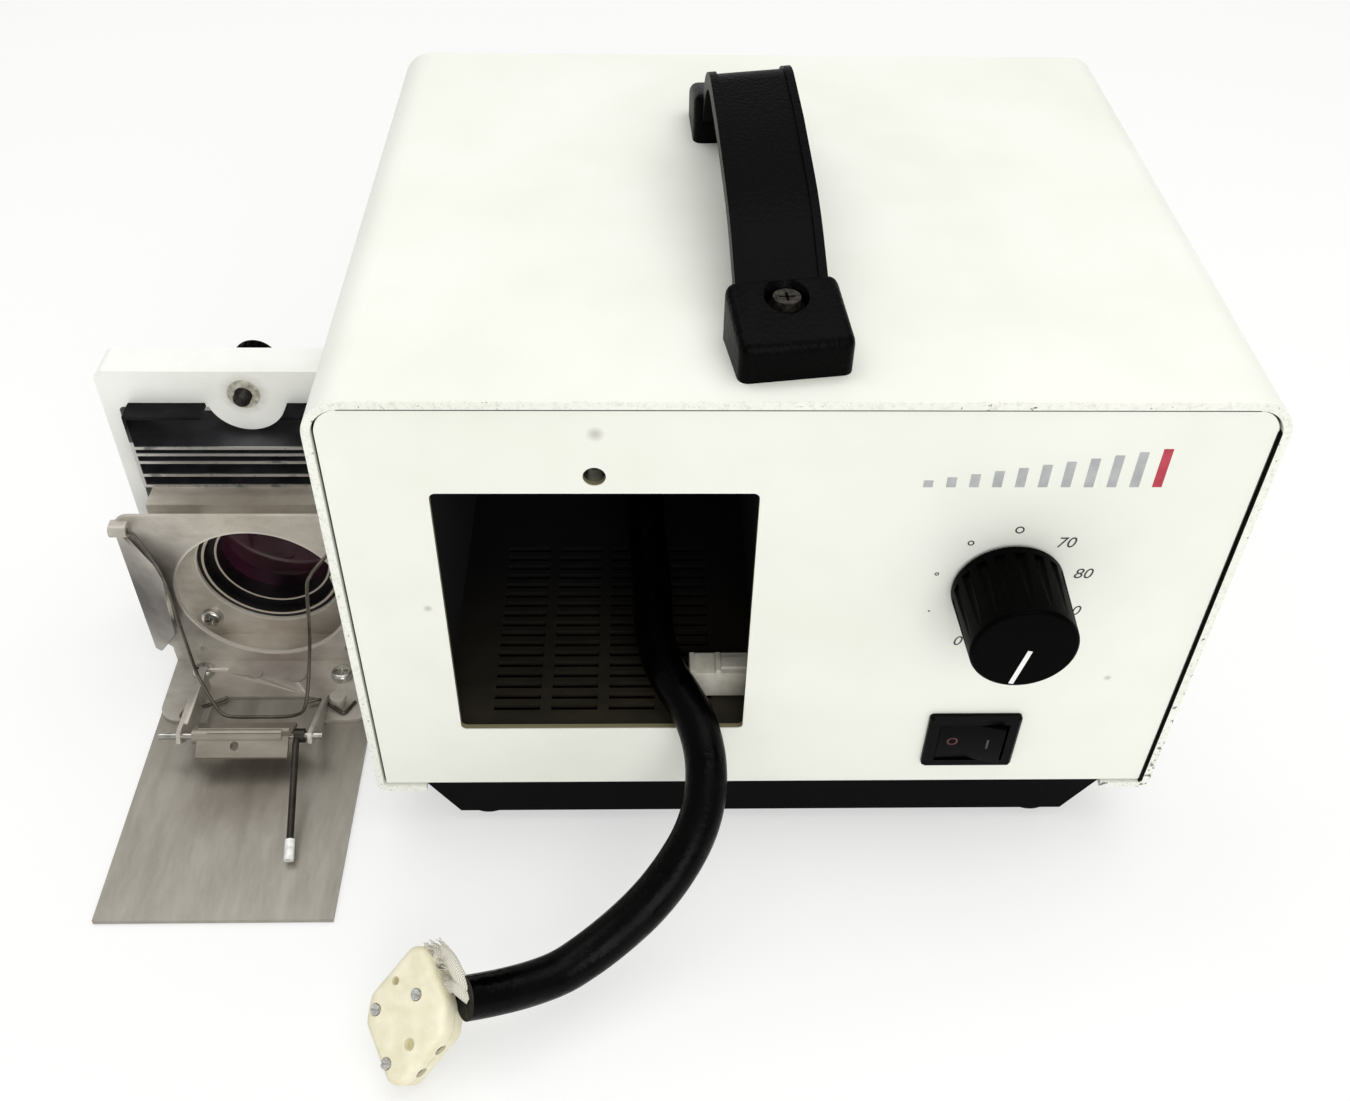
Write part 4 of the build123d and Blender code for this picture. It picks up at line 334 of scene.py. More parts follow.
def glassBraid():  # woven glass yarn, 0.35 mm to a strand
    finish, tree, place = newFinish("glassBraid")
    turn = addNode(tree, "Mapping", {"Vector": place, "Rotation": (0.6, 0.4, 0.8)})
    weave = addNode(tree, "TexWave", {"Vector": turn, "Scale": 900.0, "Distortion": 1.5}).outputs["Fac"]
    tone = addNode(tree, "ValToRGB", {"Fac": weave}, [(0.2, "#B9B39F"), (0.8, "#F1EEE2")])
    bump = addNode(tree, "Bump", {"Height": weave, "Strength": 0.5, "Distance": 0.0002})
    return surfaced(finish, {"Base Color": tone, "Roughness": 0.8, "Sheen Weight": 0.4, "Normal": bump})


plateLook = dict(
    metal=0.6, rough=0.4, dark="#8B867C", light="#A6A197", streak=(1.6, 0.35, 1.0),
    # the first patch is a painted shadow under the latch plate's front edge
    stains=(((moduleX, 12, 2), 0.002, 0.026, 0.75, "#4E4233"), ((moduleX, 34, 2), 0.01, 0.05, 0.3, "#80786A")),
)
bracketLook = dict(
    metal=0.4, rough=0.4, dark="#BBB4A9", light="#E2DCD1", streak=(0.6, 1.0, 1.0), rim=0.0256,
    stains=(
        # the second patch is painted shade on the bracket's curled side flange
        ((moduleX, 61, 5), 0.004, 0.022, 0.5, "#7D5C62"), ((-189, 52, 32), 0.016, 0.044, 0.95, "#2C2521"),
        ((moduleX, 44, 4), 0.012, 0.045, 0.6, "#777064"), ((moduleX, 61, 68), 0.006, 0.03, 0.45, "#8F8670"),
    ),
)
shieldLook = dict(
    metal=0.35, rough=0.38, dark="#B7AE9F", light="#DDD6CA", streak=(0.5, 1.0, 1.0), rim=0.0221,
    stains=(
        ((-150, 74, 62), 0.006, 0.034, 0.7, "#6F5F4E"), ((-118, 74, 24), 0.006, 0.032, 0.5, "#6E604F"),
        ((-140, 71, 4), 0.003, 0.022, 0.6, "#7A6552"),
    ),
)
latchLook = dict(metal=0.5, rough=0.4, dark="#7F776B", light="#9E9689", streak=(0.3, 1.0, 1.0))
bayLook = dict(metal=0.1, rough=0.65, dark="#1E1A10", light="#322C1D", streak=(0.5, 1.6, 1.0), fade=(8, 62))
# the bay's walls are painted near black: painted shade for the dark inside of the bay
bayWallShadeLook = dict(metal=0.0, rough=0.8, dark="#030303", light="#090807", streak=(0.5, 1.6, 1.0))
wireLook = dict(metal=0.8, rough=0.34, dark="#3D3932", light="#6B665C", streak=(1, 1, 1))
leverLook = dict(metal=0.6, rough=0.4, dark="#1E1B17", light="#3B362F", streak=(1, 1, 1))
finishes = {
    "case_enamel": bakedEnamel(),
    "door_enamel": doorEnamel(),
    "black_pan": mottled("blackPanEnamel", "#020202", "#040404", 0.01, 0.42, 0.12, specular=0.03),
    "foot_rubber": mottled("footRubber", "#050505", "#0D0D0D", 0.004, 0.75, 0.3, specular=0.1),
    "bay_steel": millSteel("baySteel", bayLook),
    "plated_screw": mottled("zincPlate", "#A5A49C", "#DADAD4", 0.003, 0.26, 0.1, 0.95),
    "connector_nylon": mottled("naturalNylon", "#C9C5B3", "#E3E0D2", 0.005, 0.42),
    "black_plastic": blackPlastic("mouldedBlack", "#020202", "#040405", 0.0006, 0.1, 0.36, 0.05),
    "transformer_steel": mottled("lamination", "#39393A", "#5A5A5C", 0.0012, 0.5, 0.4, 0.7, 0.0005),
    "coil_tape": mottled("coilTape", "#9C7428", "#C79A3F", 0.01, 0.35),
    "spreader_aluminium": mottled("rolledAluminium", "#A2A3A4", "#C6C7C8", 0.006, 0.38, 0.15, 0.95),
    "board_green": mottled("solderResist", "#0E3B1D", "#1D5E33", 0.004, 0.3),
    "standoff_brass": mottled("turnedBrass", "#A17C33", "#D2AF63", 0.003, 0.3, 0.1, 0.95),
    "can_sleeve": mottled("shrinkSleeve", "#0A0D18", "#182138", 0.006, 0.3),
    "chip_black": mottled("moldedEpoxy", "#101010", "#1E1E1E", 0.002, 0.55),
    "shaft_steel": mottled("turnedSteel", "#8D8B86", "#C3C1BB", 0.003, 0.3, 0.12, 0.95),
    "knob_plastic": blackPlastic("knobPhenolic", "#010101", "#020202", 0.0005, 0.05, 0.4, 0.02),
    "pointer_white": mottled("whiteFill", "#E4E4E2", "#F6F6F4", 0.002, 0.4),
    "handle_plastic": leatherGrain(),
    "module_steel": millSteel("rolledSteel", plateLook),
    "spring_steel": millSteel("springWire", wireLook),
    "port_aluminium": mottled("anodisedAluminium", "#6F6D6A", "#9A9894", 0.004, 0.36, 0.1, 0.9),
    "filter_magenta": filterCoating(),
    "baffle_black": bladeBlack(),
    "sleeve_clear": mottled("clearSleeve", "#D6D6D2", "#F7F7F5", 0.0015, 0.12),
    "lead_sleeve": varnishedSleeve(),
    "wire_braid": glassBraid(),
    "socket_ceramic": mottled("steatite", "#E2DCBC", "#F0EBD2", 0.0045, 0.62, 0.18, grain=0.0004),
}
slotOf = {part["node"]: part["material_slot"] for part in frame["record"]["subparts"]}
ownFinish = {
    "lamp_bracket": millSteel("bracketSteel", bracketLook),
    "heat_shield": millSteel("shieldSteel", shieldLook),
    "latch_plate": millSteel("latchSteel", latchLook),
    "lamp_bay_walls": millSteel("sootedWalls", bayWallShadeLook),
    "filter_ring": blackedRing(),
    "latch_lever": millSteel("leverWire", leverLook),
}
for name, node in frame["nodes"].items():
    for materialSlot in node.material_slots:
        materialSlot.material = ownFinish.get(name, finishes[slotOf[name]])
print("finishes set", len(finishes))


def placed(name, data, body, slotName, finish=None, replaced=None):
    data.materials.append(finish or finishes[slotName])
    piece = newObject(name, data)
    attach(piece, body)
    if replaced:
        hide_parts(replaced)
    return piece


def shaped(name, shape, body, slotName, finish=None, replaced=None, smoothAngle=35):  # a piece from a bmesh
    mesh = bpy.data.meshes.new(name)
    shape.to_mesh(mesh)
    shape.free()
    mesh.shade_smooth()
    mesh.set_sharp_from_angle(angle=math.radians(smoothAngle))
    return placed(name, mesh, body, slotName, finish, replaced)


def laid(name, routes, radius, sides, steps, body, slotName, replaced=None, capped=True, swell=()):  # round wires
    curve = bpy.data.curves.new(name, "CURVE")
    curve.dimensions = "3D"
    curve.bevel_depth = radius
    curve.bevel_resolution = sides
    curve.resolution_u = steps
    curve.use_fill_caps = capped
    for route in routes:
        spline = curve.splines.new("NURBS")
        spline.points.add(len(route) - 1)
        for point, spot in zip(spline.points, route):
            point.co = (*bench(*spot), 1)
        for point, size in zip(spline.points, swell):
            point.radius = size
        spline.order_u = 3
        spline.use_endpoint_u = True
    return placed(name, curve, body, slotName, None, replaced)


# lamp lead, hanging out of the bay to its socket on the bench
lampLead = dict(
    sleeve=0.0108, length=0.2275, sides=10, steps=20,
    route=[(-33.0, 119.0, 62.0), (-33.0, 92.0, 62.0), (-33.5, 64.3, 59.8), (-31.2, 42.0, 57.0), (-31.2, 15.2, 54.6),
           (-18.0, -4.0, 47.7), (-17.5, -23.2, 36.8), (-28.8, -38.4, 25.3), (-44.6, -49.3, 16.4),
           (-59.9, -58.9, 14.4), (-77.0, -66.2, 22.0)],
    swell=[1.0, 1.0, 1.0, 1.0, 1.0, 1.0, 1.02, 1.08, 1.06, 1.0, 1.0],
)
leadSleeve = laid("lampLeadSleeve", [lampLead["route"]], lampLead["sleeve"] / 2, lampLead["sides"], lampLead["steps"],
                  "case", "lead_sleeve", "lamp_lead", swell=lampLead["swell"])
print("lamp lead laid")

# bare wires in glass braid between the sleeve and the socket, with frayed yarn round them
bareWires = dict(
    core=0.0016, coreSides=5, coreSteps=12, yarn=0.0001, yarnSides=1, yarnSteps=4, yarns=220,
    bends=((1.5, 0.6), (2.1, 2.0)), tips=((1.7, 2.9), (2.2, 3.6)),
    routes=[
        [(-75.4, -66.6, 22.6), (-77.9, -64.9, 23.2), (-79.4, -63.0, 22.4), (-80.9, -61.65, 19.9),
         (-84.16, -62.69, 17.37)],
        [(-75.8, -64.6, 23.6), (-78.4, -62.2, 24.6), (-80.4, -58.2, 25.2), (-83.2, -54.4, 24.0), (-84.6, -54.9, 21.6),
         (-86.93, -57.09, 18.77)],
    ],
)
braidedWires = laid("braidedWires", bareWires["routes"], bareWires["core"], bareWires["coreSides"],
                    bareWires["coreSteps"], "case", "wire_braid", "lead_wires")
strands = []
for index in range(bareWires["yarns"]):
    route = bareWires["routes"][min(index % 3, 1)]
    step = random.randrange(1, len(route) - 1)
    along = random.random()
    root = Vector(route[step]).lerp(Vector(route[step + 1 if step + 2 < len(route) else step]), along)
    lean = Vector((random.uniform(-0.7, 1), random.uniform(-0.5, 1), random.uniform(-0.3, 1))).normalized()
    heading = (Vector(route[-1]) - Vector(route[0])).normalized()
    bends = bareWires["bends"] + (tuple(random.uniform(*reach) for reach in bareWires["tips"]),)
    strands.append([root] + [root + lean * aside + heading * onward for aside, onward in bends])
frayedYarn = laid("frayedYarn", strands, bareWires["yarn"], bareWires["yarnSides"], bareWires["yarnSteps"], "case",
                  "wire_braid", None, False)
print("bare wires done")


def copied(node):  # the CAD piece as a bmesh, its triangles merged into faces
    shape = bmesh.new()
    shape.from_mesh(frame["nodes"][node].data)
    bmesh.ops.remove_doubles(shape, verts=shape.verts, dist=1e-6)
    bmesh.ops.dissolve_limit(shape, angle_limit=math.radians(1), verts=shape.verts, edges=shape.edges)
    return shape


def rounded(shape, edges, width, segments, clamp=True):
    bmesh.ops.bevel(shape, geom=edges, offset=width, offset_type="OFFSET", affect="EDGES", segments=segments,
                    profile=0.5, clamp_overlap=clamp, material=-1)


def prism(outline, low, high, across):  # outline of pairs, drawn out between two levels along the third axis
    shape = bmesh.new()
    ends = [[shape.verts.new(across(*pair, level)) for pair in outline] for level in (low, high)]
    shape.faces.new(ends[0])
    shape.faces.new(ends[1])
    for here, ahead in zip(range(len(outline)), list(range(1, len(outline))) + [0]):
        shape.faces.new((ends[0][here], ends[0][ahead], ends[1][ahead], ends[1][here]))
    bmesh.ops.recalc_face_normals(shape, faces=shape.faces)
    return shape


def turned(profile, steps=28):  # (radius, height) pairs spun round the Z axis
    shape = bmesh.new()
    line = [shape.verts.new((radius, 0, height)) for radius, height in profile]
    edges = [shape.edges.new(pair) for pair in zip(line, line[1:])]
    bmesh.ops.spin(shape, geom=line + edges, cent=(0, 0, 0), axis=(0, 0, 1), angle=math.tau, steps=steps,
                   use_merge=True)
    bmesh.ops.remove_doubles(shape, verts=shape.verts, dist=1e-6)
    bmesh.ops.recalc_face_normals(shape, faces=shape.faces)
    return shape


def carved(name, shape, hollows):  # the shape less the hollows
    holders = []
    for index, part in enumerate([shape] + hollows):
        mesh = bpy.data.meshes.new(name + str(index))
        part.to_mesh(mesh)
        part.free()
        holders.append(newObject(name + str(index), mesh))
    for hollow in holders[1:]:
        cut = holders[0].modifiers.new(hollow.name, "BOOLEAN")
        cut.operation = "DIFFERENCE"
        cut.object = hollow
    bpy.context.view_layer.update()
    done = bmesh.new()
    done.from_mesh(bpy.data.meshes.new_from_object(holders[0].evaluated_get(bpy.context.evaluated_depsgraph_get())))
    for holder in holders:
        bpy.data.objects.remove(holder)
    return done


# carrying handle: two moulded caps over the ends of a ribbed strap whose crest leans to the left
handle = dict(x=-2.1, front=7.3, span=131.7, turn=2.6, top=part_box("wrap_cover")[1].z * 1000, wide=25.7, long=20.0,
              low=9.0, high=14.0, seat=10.2, head=0.74, twist=6.0, inset=6.5, soft=0.0024, lean=5.0, foot=0.016,
              still=0.0105, seatShape=[(0, 0), (0.0042, 0), (0.0046, 0.0008), (0.0052, 0.0026), (0.0062, 0.0036),
                                       (0.0062, 0.009), (0, 0.009)])
onHandle = (Matrix.Translation(bench(handle["x"], handle["front"], 0))
            @ Matrix.Rotation(math.radians(handle["turn"]), 4, "Z"))
headSeat = (handle["top"] + handle["seat"]) / 1000
caps = (("handle_front_cap", "frontCapMoulding", 0.0, 1, handle["twist"]),
        ("handle_rear_cap", "rearCapMoulding", handle["span"], -1, 0.0))
for node, name, start, way, twist in caps:
    inner = start + way * handle["long"]
    screwY = inner - way * handle["inset"]
    outline = [(start, handle["top"]), (start, handle["top"] + handle["low"]),
               (inner, handle["top"] + handle["high"]), (inner, handle["top"])]
    cap = prism([(y / 1000, z / 1000) for y, z in outline], -handle["wide"] / 2000, handle["wide"] / 2000,
                lambda y, z, x: (x, y, z))
    upper = [edge for edge in cap.edges if max(vert.co.z for vert in edge.verts) > handle["top"] / 1000 + 0.001]
    rounded(cap, upper, handle["soft"], 5)
    seat = turned(handle["seatShape"])
    seat.transform(Matrix.Translation((0, screwY / 1000, headSeat)))
    about = Matrix.Translation((0, screwY / 1000, 0))
    cap.transform(about @ Matrix.Rotation(math.radians(twist), 4, "Z") @ about.inverted())
    moulding = carved(name, cap, [seat])
    moulding.transform(onHandle)
    shaped(name, moulding, "case", "handle_plastic", None, node, 50)

strap = copied("handle_strap")
flat = onHandle.inverted()
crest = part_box("handle_strap")[1].z
foot = handle["top"] / 1000 + handle["foot"]
for vert in strap.verts:
    beside = (flat @ vert.co).x
    rise = min(max((vert.co.z - foot) / (crest - foot), 0), 1)
    vert.co.z -= (handle["still"] - beside) * math.tan(math.radians(handle["lean"])) * rise
shaped("strapMoulding", strap, "case", "handle_plastic", None, "handle_strap", 40)

dullZinc = mottled("dulledZinc", "#1D1B18", "#55504A", 0.0012, 0.42, 0.2, 0.8)
screws = copied("handle_screws")
for vert in screws.verts:
    if vert.co.z > headSeat - 1e-5:
        own = flat @ vert.co
        nearest = min((handle["long"] - handle["inset"], handle["span"] - handle["long"] + handle["inset"]),
                      key=lambda y: abs(y / 1000 - own.y)) / 1000
        vert.co = onHandle @ Vector((own.x * handle["head"], nearest + (own.y - nearest) * handle["head"], own.z))
shaped("capScrews", screws, "case", slotOf["handle_screws"], dullZinc, "handle_screws")
print("handle done")

# ceramic socket: two halves with eight corners, screwed together
socket = dict(place=(-89.8, -65.5, 12.9), turns=(32.3, -18.3, -19.9), wide=22.8, long=32.4, thick=9.5, cornerX=9.6,
              cornerY=12.8, seam=0.2, soft=0.0019, screws=[(-8.6, 0.1), (2.4, 5.0), (-2.9, -11.6)],
              pits=[(2.8, -6.4, 1.5), (-4.3, 7.4, 1.1)], mouths=(0.32, 0.72), pins=(-3.6, 3.6), head=0.7, headHigh=0.8,
              recess=(1.55, 0.7), pitDeep=2.0, mouth=(1.9, 4.5), pinHole=(1.5, 3.5), pinIn=2.2, pinRadius=0.00142,
              pinLong=0.0024)
tip, roll, yaw = (math.radians(angle) for angle in socket["turns"])
onSocket = (Matrix.Translation(bench(*socket["place"])) @ Matrix.Rotation(yaw, 4, "Z")
            @ Matrix.Rotation(roll, 4, "Y") @ Matrix.Rotation(tip, 4, "X"))
halfWide, halfLong = socket["wide"] / 2, socket["long"] / 2
corners = []
for sx, sy in ((1, 1), (-1, 1), (-1, -1), (1, -1)):
    pair = [(sx * halfWide, sy * (halfLong - socket["cornerY"])), (sx * (halfWide - socket["cornerX"]), sy * halfLong)]
    corners += pair if sx == sy else pair[::-1]
alongEdge = Vector((socket["cornerX"], socket["cornerY"], 0)).normalized()
pinSpots = [Vector((halfWide - socket["cornerX"] / 2, -halfLong + socket["cornerY"] / 2, 0)) + alongEdge * shift
            for shift in socket["pins"]]


def pit(x, y, z, radius, depth, towards):  # a round hollow whose mouth is at x, y, z
    shape = turned([(0, -depth / 1000), (radius / 1000, -depth / 1000), (radius / 1000, 0.002), (0, 0.002)], 20)
    aim = Vector(towards).to_track_quat("Z", "Y").to_matrix().to_4x4()
    shape.transform(Matrix.Translation(Vector((x, y, z)) / 1000) @ aim)
    return shape


halves = (("lamp_socket_base", "ceramicBase", -socket["thick"] / 2, -socket["seam"] / 2),
          ("lamp_socket_cover", "ceramicCover", socket["seam"] / 2, socket["thick"] / 2))
for node, name, low, high in halves:
    half = prism([(x / 1000, y / 1000) for x, y in corners], low / 1000, high / 1000, lambda x, y, z: (x, y, z))
    face = max(abs(low), high) / 1000
    outer = [edge for edge in half.edges if any(abs(abs(vert.co.z) - face) < 1e-6 for vert in edge.verts)]
    rounded(half, outer, socket["soft"], 5)
    hollows = []
    if high > 1:
        hollows += [pit(x, y, high, *socket["recess"], (0, 0, 1)) for x, y in socket["screws"]]
        hollows += [pit(x, y, high, radius, socket["pitDeep"], (0, 0, 1)) for x, y, radius in socket["pits"]]
    for share in socket["mouths"]:
        x = halfWide - socket["cornerX"] * share
        y = halfLong - socket["cornerY"] * (1 - share)
        hollows.append(pit(x, y, 0, *socket["mouth"], (socket["cornerY"], socket["cornerX"], 0)))
    hollows += [pit(*spot, *socket["pinHole"], (socket["cornerY"], -socket["cornerX"], 0)) for spot in pinSpots]
    half = carved(name, half, hollows)
    half.transform(onSocket)
    shaped(name, half, "case", "socket_ceramic", None, node, 50)

screws = copied("socket_screws")
fromSocket = onSocket.inverted()
for vert in screws.verts:
    own = fromSocket @ vert.co
    if own.z > (socket["thick"] / 2 - socket["headHigh"]) / 1000 - 1e-5:
        middle = min((Vector(spot) / 1000 for spot in socket["screws"]), key=lambda spot: (spot - own.xy).length)
        vert.co = onSocket @ Vector((*(middle + (own.xy - middle) * socket["head"]), own.z))
brightNickel = mottled("nickelPlate", "#B9B7B1", "#FBFAF6", 0.0009, 0.3, 0.5, 0.7)
socketScrews = shaped("socketScrews", screws, "case", slotOf["socket_screws"], brightNickel, "socket_screws")
# dark plugs set in the pin holes: painted shade for the holes' depth
pinHoleShade = mottled("burntContact", "#14110E", "#2C2620", 0.001, 0.6, 0.2, 0.5)
pinShape = bmesh.new()
inward = Vector((-socket["cornerY"], socket["cornerX"], 0)).normalized()
aim = inward.to_track_quat("Z", "Y").to_matrix().to_4x4()
for spot in pinSpots:
    place = Matrix.Translation((spot + inward * socket["pinIn"]) / 1000)
    bmesh.ops.create_cone(pinShape, cap_ends=True, segments=20, radius1=socket["pinRadius"],
                          radius2=socket["pinRadius"], depth=socket["pinLong"], matrix=onSocket @ place @ aim)
pinSleeves = shaped("pinSleeves", pinShape, "case", slotOf["socket_screws"], pinHoleShade)
print("socket done")

# mouldings whose edges are softly rounded
mouldings = (("rocker_paddle", "paddleMoulding", "rocker", 0.0006, 3),
             ("lamp_connector", "nylonShell", "case", 0.0003, 2))
for node, name, body, width, segments in mouldings:
    shape = copied(node)
    sharp = [edge for edge in shape.edges if edge.is_manifold and edge.calc_face_angle(0) > math.radians(30)]
    rounded(shape, sharp, width, segments)
    shaped(name, shape, body, slotOf[node], None, node, 40)
print("edges rounded")

# the lamp's wire bail, and the bracket's ears curled round its ends
bail = dict(wire=0.00052, sides=4, steps=8, earY=(57.0, 61.4), earZ=(57.5, 62.6), noseY=57.6, noseLong=0.0045,
            curl=0.0018, route=[
    (-187.4, 59.3, 60.1), (-181.2, 59.3, 60.1), (-178.2, 56.2, 59.2), (-169.0, 45.0, 55.2), (-168.4, 43.6, 47.0),
    (-167.1, 41.2, 24.0), (-166.2, 39.8, 18.4), (-160.4, 32.9, 11.6), (-157.6, 31.6, 10.3), (-150.0, 31.6, 10.3),
    (-136.8, 31.6, 10.3), (-133.8, 33.4, 13.2), (-132.2, 43.4, 29.0), (-131.0, 44.0, 38.0), (-129.5, 44.0, 52.0),
    (-128.4, 45.2, 55.8), (-120.4, 56.4, 59.2), (-117.4, 59.3, 60.1), (-111.4, 59.3, 60.1)])
laid("bailWire", [bail["route"]], bail["wire"], bail["sides"], bail["steps"], "bail", slotOf["lamp_bail"], "lamp_bail")
bracket = copied("lamp_bracket")
earLow, earHigh = (bench(0, y, z) for y, z in zip(bail["earY"], bail["earZ"]))
nose = []
for edge in bracket.edges:
    inEar = all(earLow[k] < vert.co[k] < earHigh[k] for vert in edge.verts for k in (1, 2))
    along = abs(edge.verts[0].co.x - edge.verts[1].co.x)
    if inEar and along > bail["noseLong"] and max(vert.co.y for vert in edge.verts) < bench(0, bail["noseY"], 0).y:
        nose.append(edge)
rounded(bracket, nose, bail["curl"], 5, False)
shaped("bracketSheet", bracket, "lamp_module", slotOf["lamp_bracket"], ownFinish["lamp_bracket"], "lamp_bracket", 30)
print("bail done", len(nose))

# thumb screw with its thread
thumbScrew = dict(radius=2.45, depth=0.36, pitch=0.8, crest=(0.3, 0.45), tip=83.8, end=101.2, chamfer=0.5)
onDoor = Matrix.Translation(bench(moduleX, 0, screwZ)) @ Matrix.Rotation(-math.pi / 2, 4, "X")
profile = [(0, thumbScrew["tip"])]
for turn in range(int((thumbScrew["end"] - thumbScrew["tip"]) / thumbScrew["pitch"])):
    y = thumbScrew["tip"] + turn * thumbScrew["pitch"]
    crest = thumbScrew["radius"] - (thumbScrew["chamfer"] if turn == 0 else 0)
    profile += [(crest - thumbScrew["depth"], y)] + [(crest, y + rise) for rise in thumbScrew["crest"]]
profile.append((0, thumbScrew["end"]))
shape = turned([(radius / 1000, y / 1000) for radius, y in profile], 32)
shape.transform(onDoor)
darkThread = mottled("blackedThread", "#1A1917", "#3A3834", 0.002, 0.4, 0.1, 0.8)
shaped("thumbScrewThread", shape, "thumb", "shaft_steel", darkThread, "thumb_screw")

# nylon washer that keeps the thumb screw in the door
keeper = dict(inner=0.0026, outer=0.0046, near=0.0873, far=0.088)
corners = (("inner", "far"), ("outer", "far"), ("outer", "near"), ("inner", "near"), ("inner", "far"))
shape = turned([(keeper[across], keeper[along]) for across, along in corners], 36)
shape.transform(onDoor)
agedNylon = mottled("agedNylon", "#8F8A7A", "#CFCBBE", 0.0015, 0.5, 0.6)
shaped("screwKeeper", shape, "lamp_module", "connector_nylon", agedNylon)

# the thumb screw's moulded knob, fluted round its rim
thumbKnob = dict(radius=0.0065, flutes=20, flute=0.00035, margin=0.00008, rim=0.0008)
low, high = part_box("thumb_knob")
middle = (low + high) / 2
shape = bmesh.new()
bmesh.ops.create_cone(shape, cap_ends=True, segments=thumbKnob["flutes"] * 3, radius1=thumbKnob["radius"],
                      radius2=thumbKnob["radius"], depth=high.y - low.y,
                      matrix=Matrix.Translation(middle) @ Matrix.Rotation(-math.pi / 2, 4, "X"))
ends = [face for face in shape.faces if abs(face.normal.y) > 0.5]
rounded(shape, [edge for face in ends for edge in face.edges], thumbKnob["rim"], 3)
shape.faces.ensure_lookup_table()
around = sorted((face for face in shape.faces if abs(face.normal.y) < 0.01), key=lambda face: math.atan2(
    face.calc_center_median().x - middle.x, face.calc_center_median().z - middle.z))
bmesh.ops.inset_individual(shape, faces=around[::3], thickness=thumbKnob["margin"], depth=-thumbKnob["flute"])
shaped("thumbKnobMoulding", shape, "thumb", slotOf["thumb_knob"], None, "thumb_knob")
print("thumb screw done")

# printing on the front panel: a scale of growing circles and plain numbers, and a row of growing bars
printInk = mottled("screenInk", "#26262B", "#3A3A40", 0.002, 0.5)
greyInk = mottled("greyInk", "#A6A7A9", "#B7B8B9", 0.003, 0.5)
redInk = mottled("redInk", "#B0283C", "#BF3A4C", 0.003, 0.5)
inkDepth = 0.03
dialScale = dict(
    rings=[(53.4, 113.5, 1.1, 0.38), (42.65, 109.4, 0.8, 0.34), (36.1, 99.4, 0.55, 0.3), (36.0, 86.8, 0.28, 0.28)],
    numbers=[("70", 65.0, 109.4), ("80", 71.2, 99.3), ("90", 71.0, 86.7), ("100", 65.6, 76.0), ("0", 44.6, 76.0)],
    height=3.3, slant=0.2,
)
shape = bmesh.new()
for x, z, radius, stroke in dialScale["rings"]:
    turnUp = Matrix.Translation(bench(x, -inkDepth, z)) @ Matrix.Rotation(math.pi / 2, 4, "X")
    outer = bmesh.ops.create_circle(shape, segments=32, radius=radius / 1000, matrix=turnUp, cap_ends=stroke >= radius)
    if stroke < radius:
        inner = bmesh.ops.create_circle(shape, segments=32, radius=(radius - stroke) / 1000, matrix=turnUp)
        rims = {edge for vert in outer["verts"] + inner["verts"] for edge in vert.link_edges}
        bmesh.ops.bridge_loops(shape, edges=list(rims))
bmesh.ops.recalc_face_normals(shape, faces=shape.faces)
bmesh.ops.solidify(shape, geom=shape.faces[:], thickness=inkDepth / 2000)
shaped("scaleCircles", shape, "case", "pointer_white", printInk)


def lettering(name, words, body, finish):
    shape = bmesh.new()
    for word, x, z, height, slant, turn in words:
        font = bpy.data.curves.new(name, "FONT")
        font.body = word
        font.size = height / 1000 / 0.72  # a capital takes up 0.72 of the font's size
        font.shear = slant
        font.align_x = "CENTER"
        font.align_y = "CENTER"
        font.extrude = inkDepth / 2000
        font.resolution_u = 6
        holder = newObject(name, font)
        bpy.context.view_layer.update()
        cut = bpy.data.meshes.new_from_object(holder)
        cut.transform(turn @ Matrix.Translation(bench(x, -inkDepth, z)) @ Matrix.Rotation(math.pi / 2, 4, "X"))
        shape.from_mesh(cut)
        bpy.data.objects.remove(holder)
    bmesh.ops.remove_doubles(shape, verts=shape.verts, dist=1e-7)
    shaped(name, shape, body, "pointer_white", finish)


lettering("scaleNumbers", [(word, x, z, dialScale["height"], dialScale["slant"], Matrix.Identity(4))
                           for word, x, z in dialScale["numbers"]], "case", printInk)

levelBars = dict(first=30.0, pitch=5.2, count=11, width=2.2, low=2.0, high=11.0, base=126.5, red=10)
for name, finish, wanted in (("levelBarsGrey", greyInk, False), ("levelBarRed", redInk, True)):
    shape = bmesh.new()
    for index in range(levelBars["count"]):
        if (index == levelBars["red"]) != wanted:
            continue
        tall = levelBars["low"] + (levelBars["high"] - levelBars["low"]) * index / (levelBars["count"] - 1)
        centre = bench(levelBars["first"] + levelBars["pitch"] * index, -inkDepth / 2, levelBars["base"] + tall / 2)
        size = Matrix.Diagonal((levelBars["width"] / 1000, inkDepth / 1000, tall / 1000, 1))
        bmesh.ops.create_cube(shape, size=1, matrix=Matrix.Translation(centre) @ size)
    shaped(name, shape, "case", "pointer_white", finish)

# marks on the rocker's two halves, each lying in its face
rockerMarks = dict(pivot=(54.3, 2.5, 37.9), ridge=(54.3, -1.25, 37.9), tilt=math.radians(-7.0),
                   slope=math.atan2(1.25, 8.9), lift=0.00125)
pivot, ridge = (Matrix.Translation(bench(*rockerMarks[key])) for key in ("pivot", "ridge"))
tilted = pivot @ Matrix.Rotation(rockerMarks["tilt"], 4, "Z") @ pivot.inverted()
lift = Matrix.Translation((0, -rockerMarks["lift"], 0))
faintRed = mottled("fadedRed", "#4A1F1D", "#6B2F2B", 0.002, 0.5)
faintGrey = mottled("fadedGrey", "#3A3434", "#4C4646", 0.002, 0.5)
for name, mark, x, height, way, finish in (("offMark", "O", 49.6, 2.9, 1, faintRed),
                                           ("onMark", "I", 59.0, 3.8, -1, faintGrey)):
    slope = Matrix.Rotation(way * rockerMarks["slope"], 4, "Z")
    lettering(name, [(mark, x, rockerMarks["pivot"][2], height, 0, tilted @ ridge @ slope @ ridge.inverted() @ lift)],
              "rocker", finish)
print("printing done")

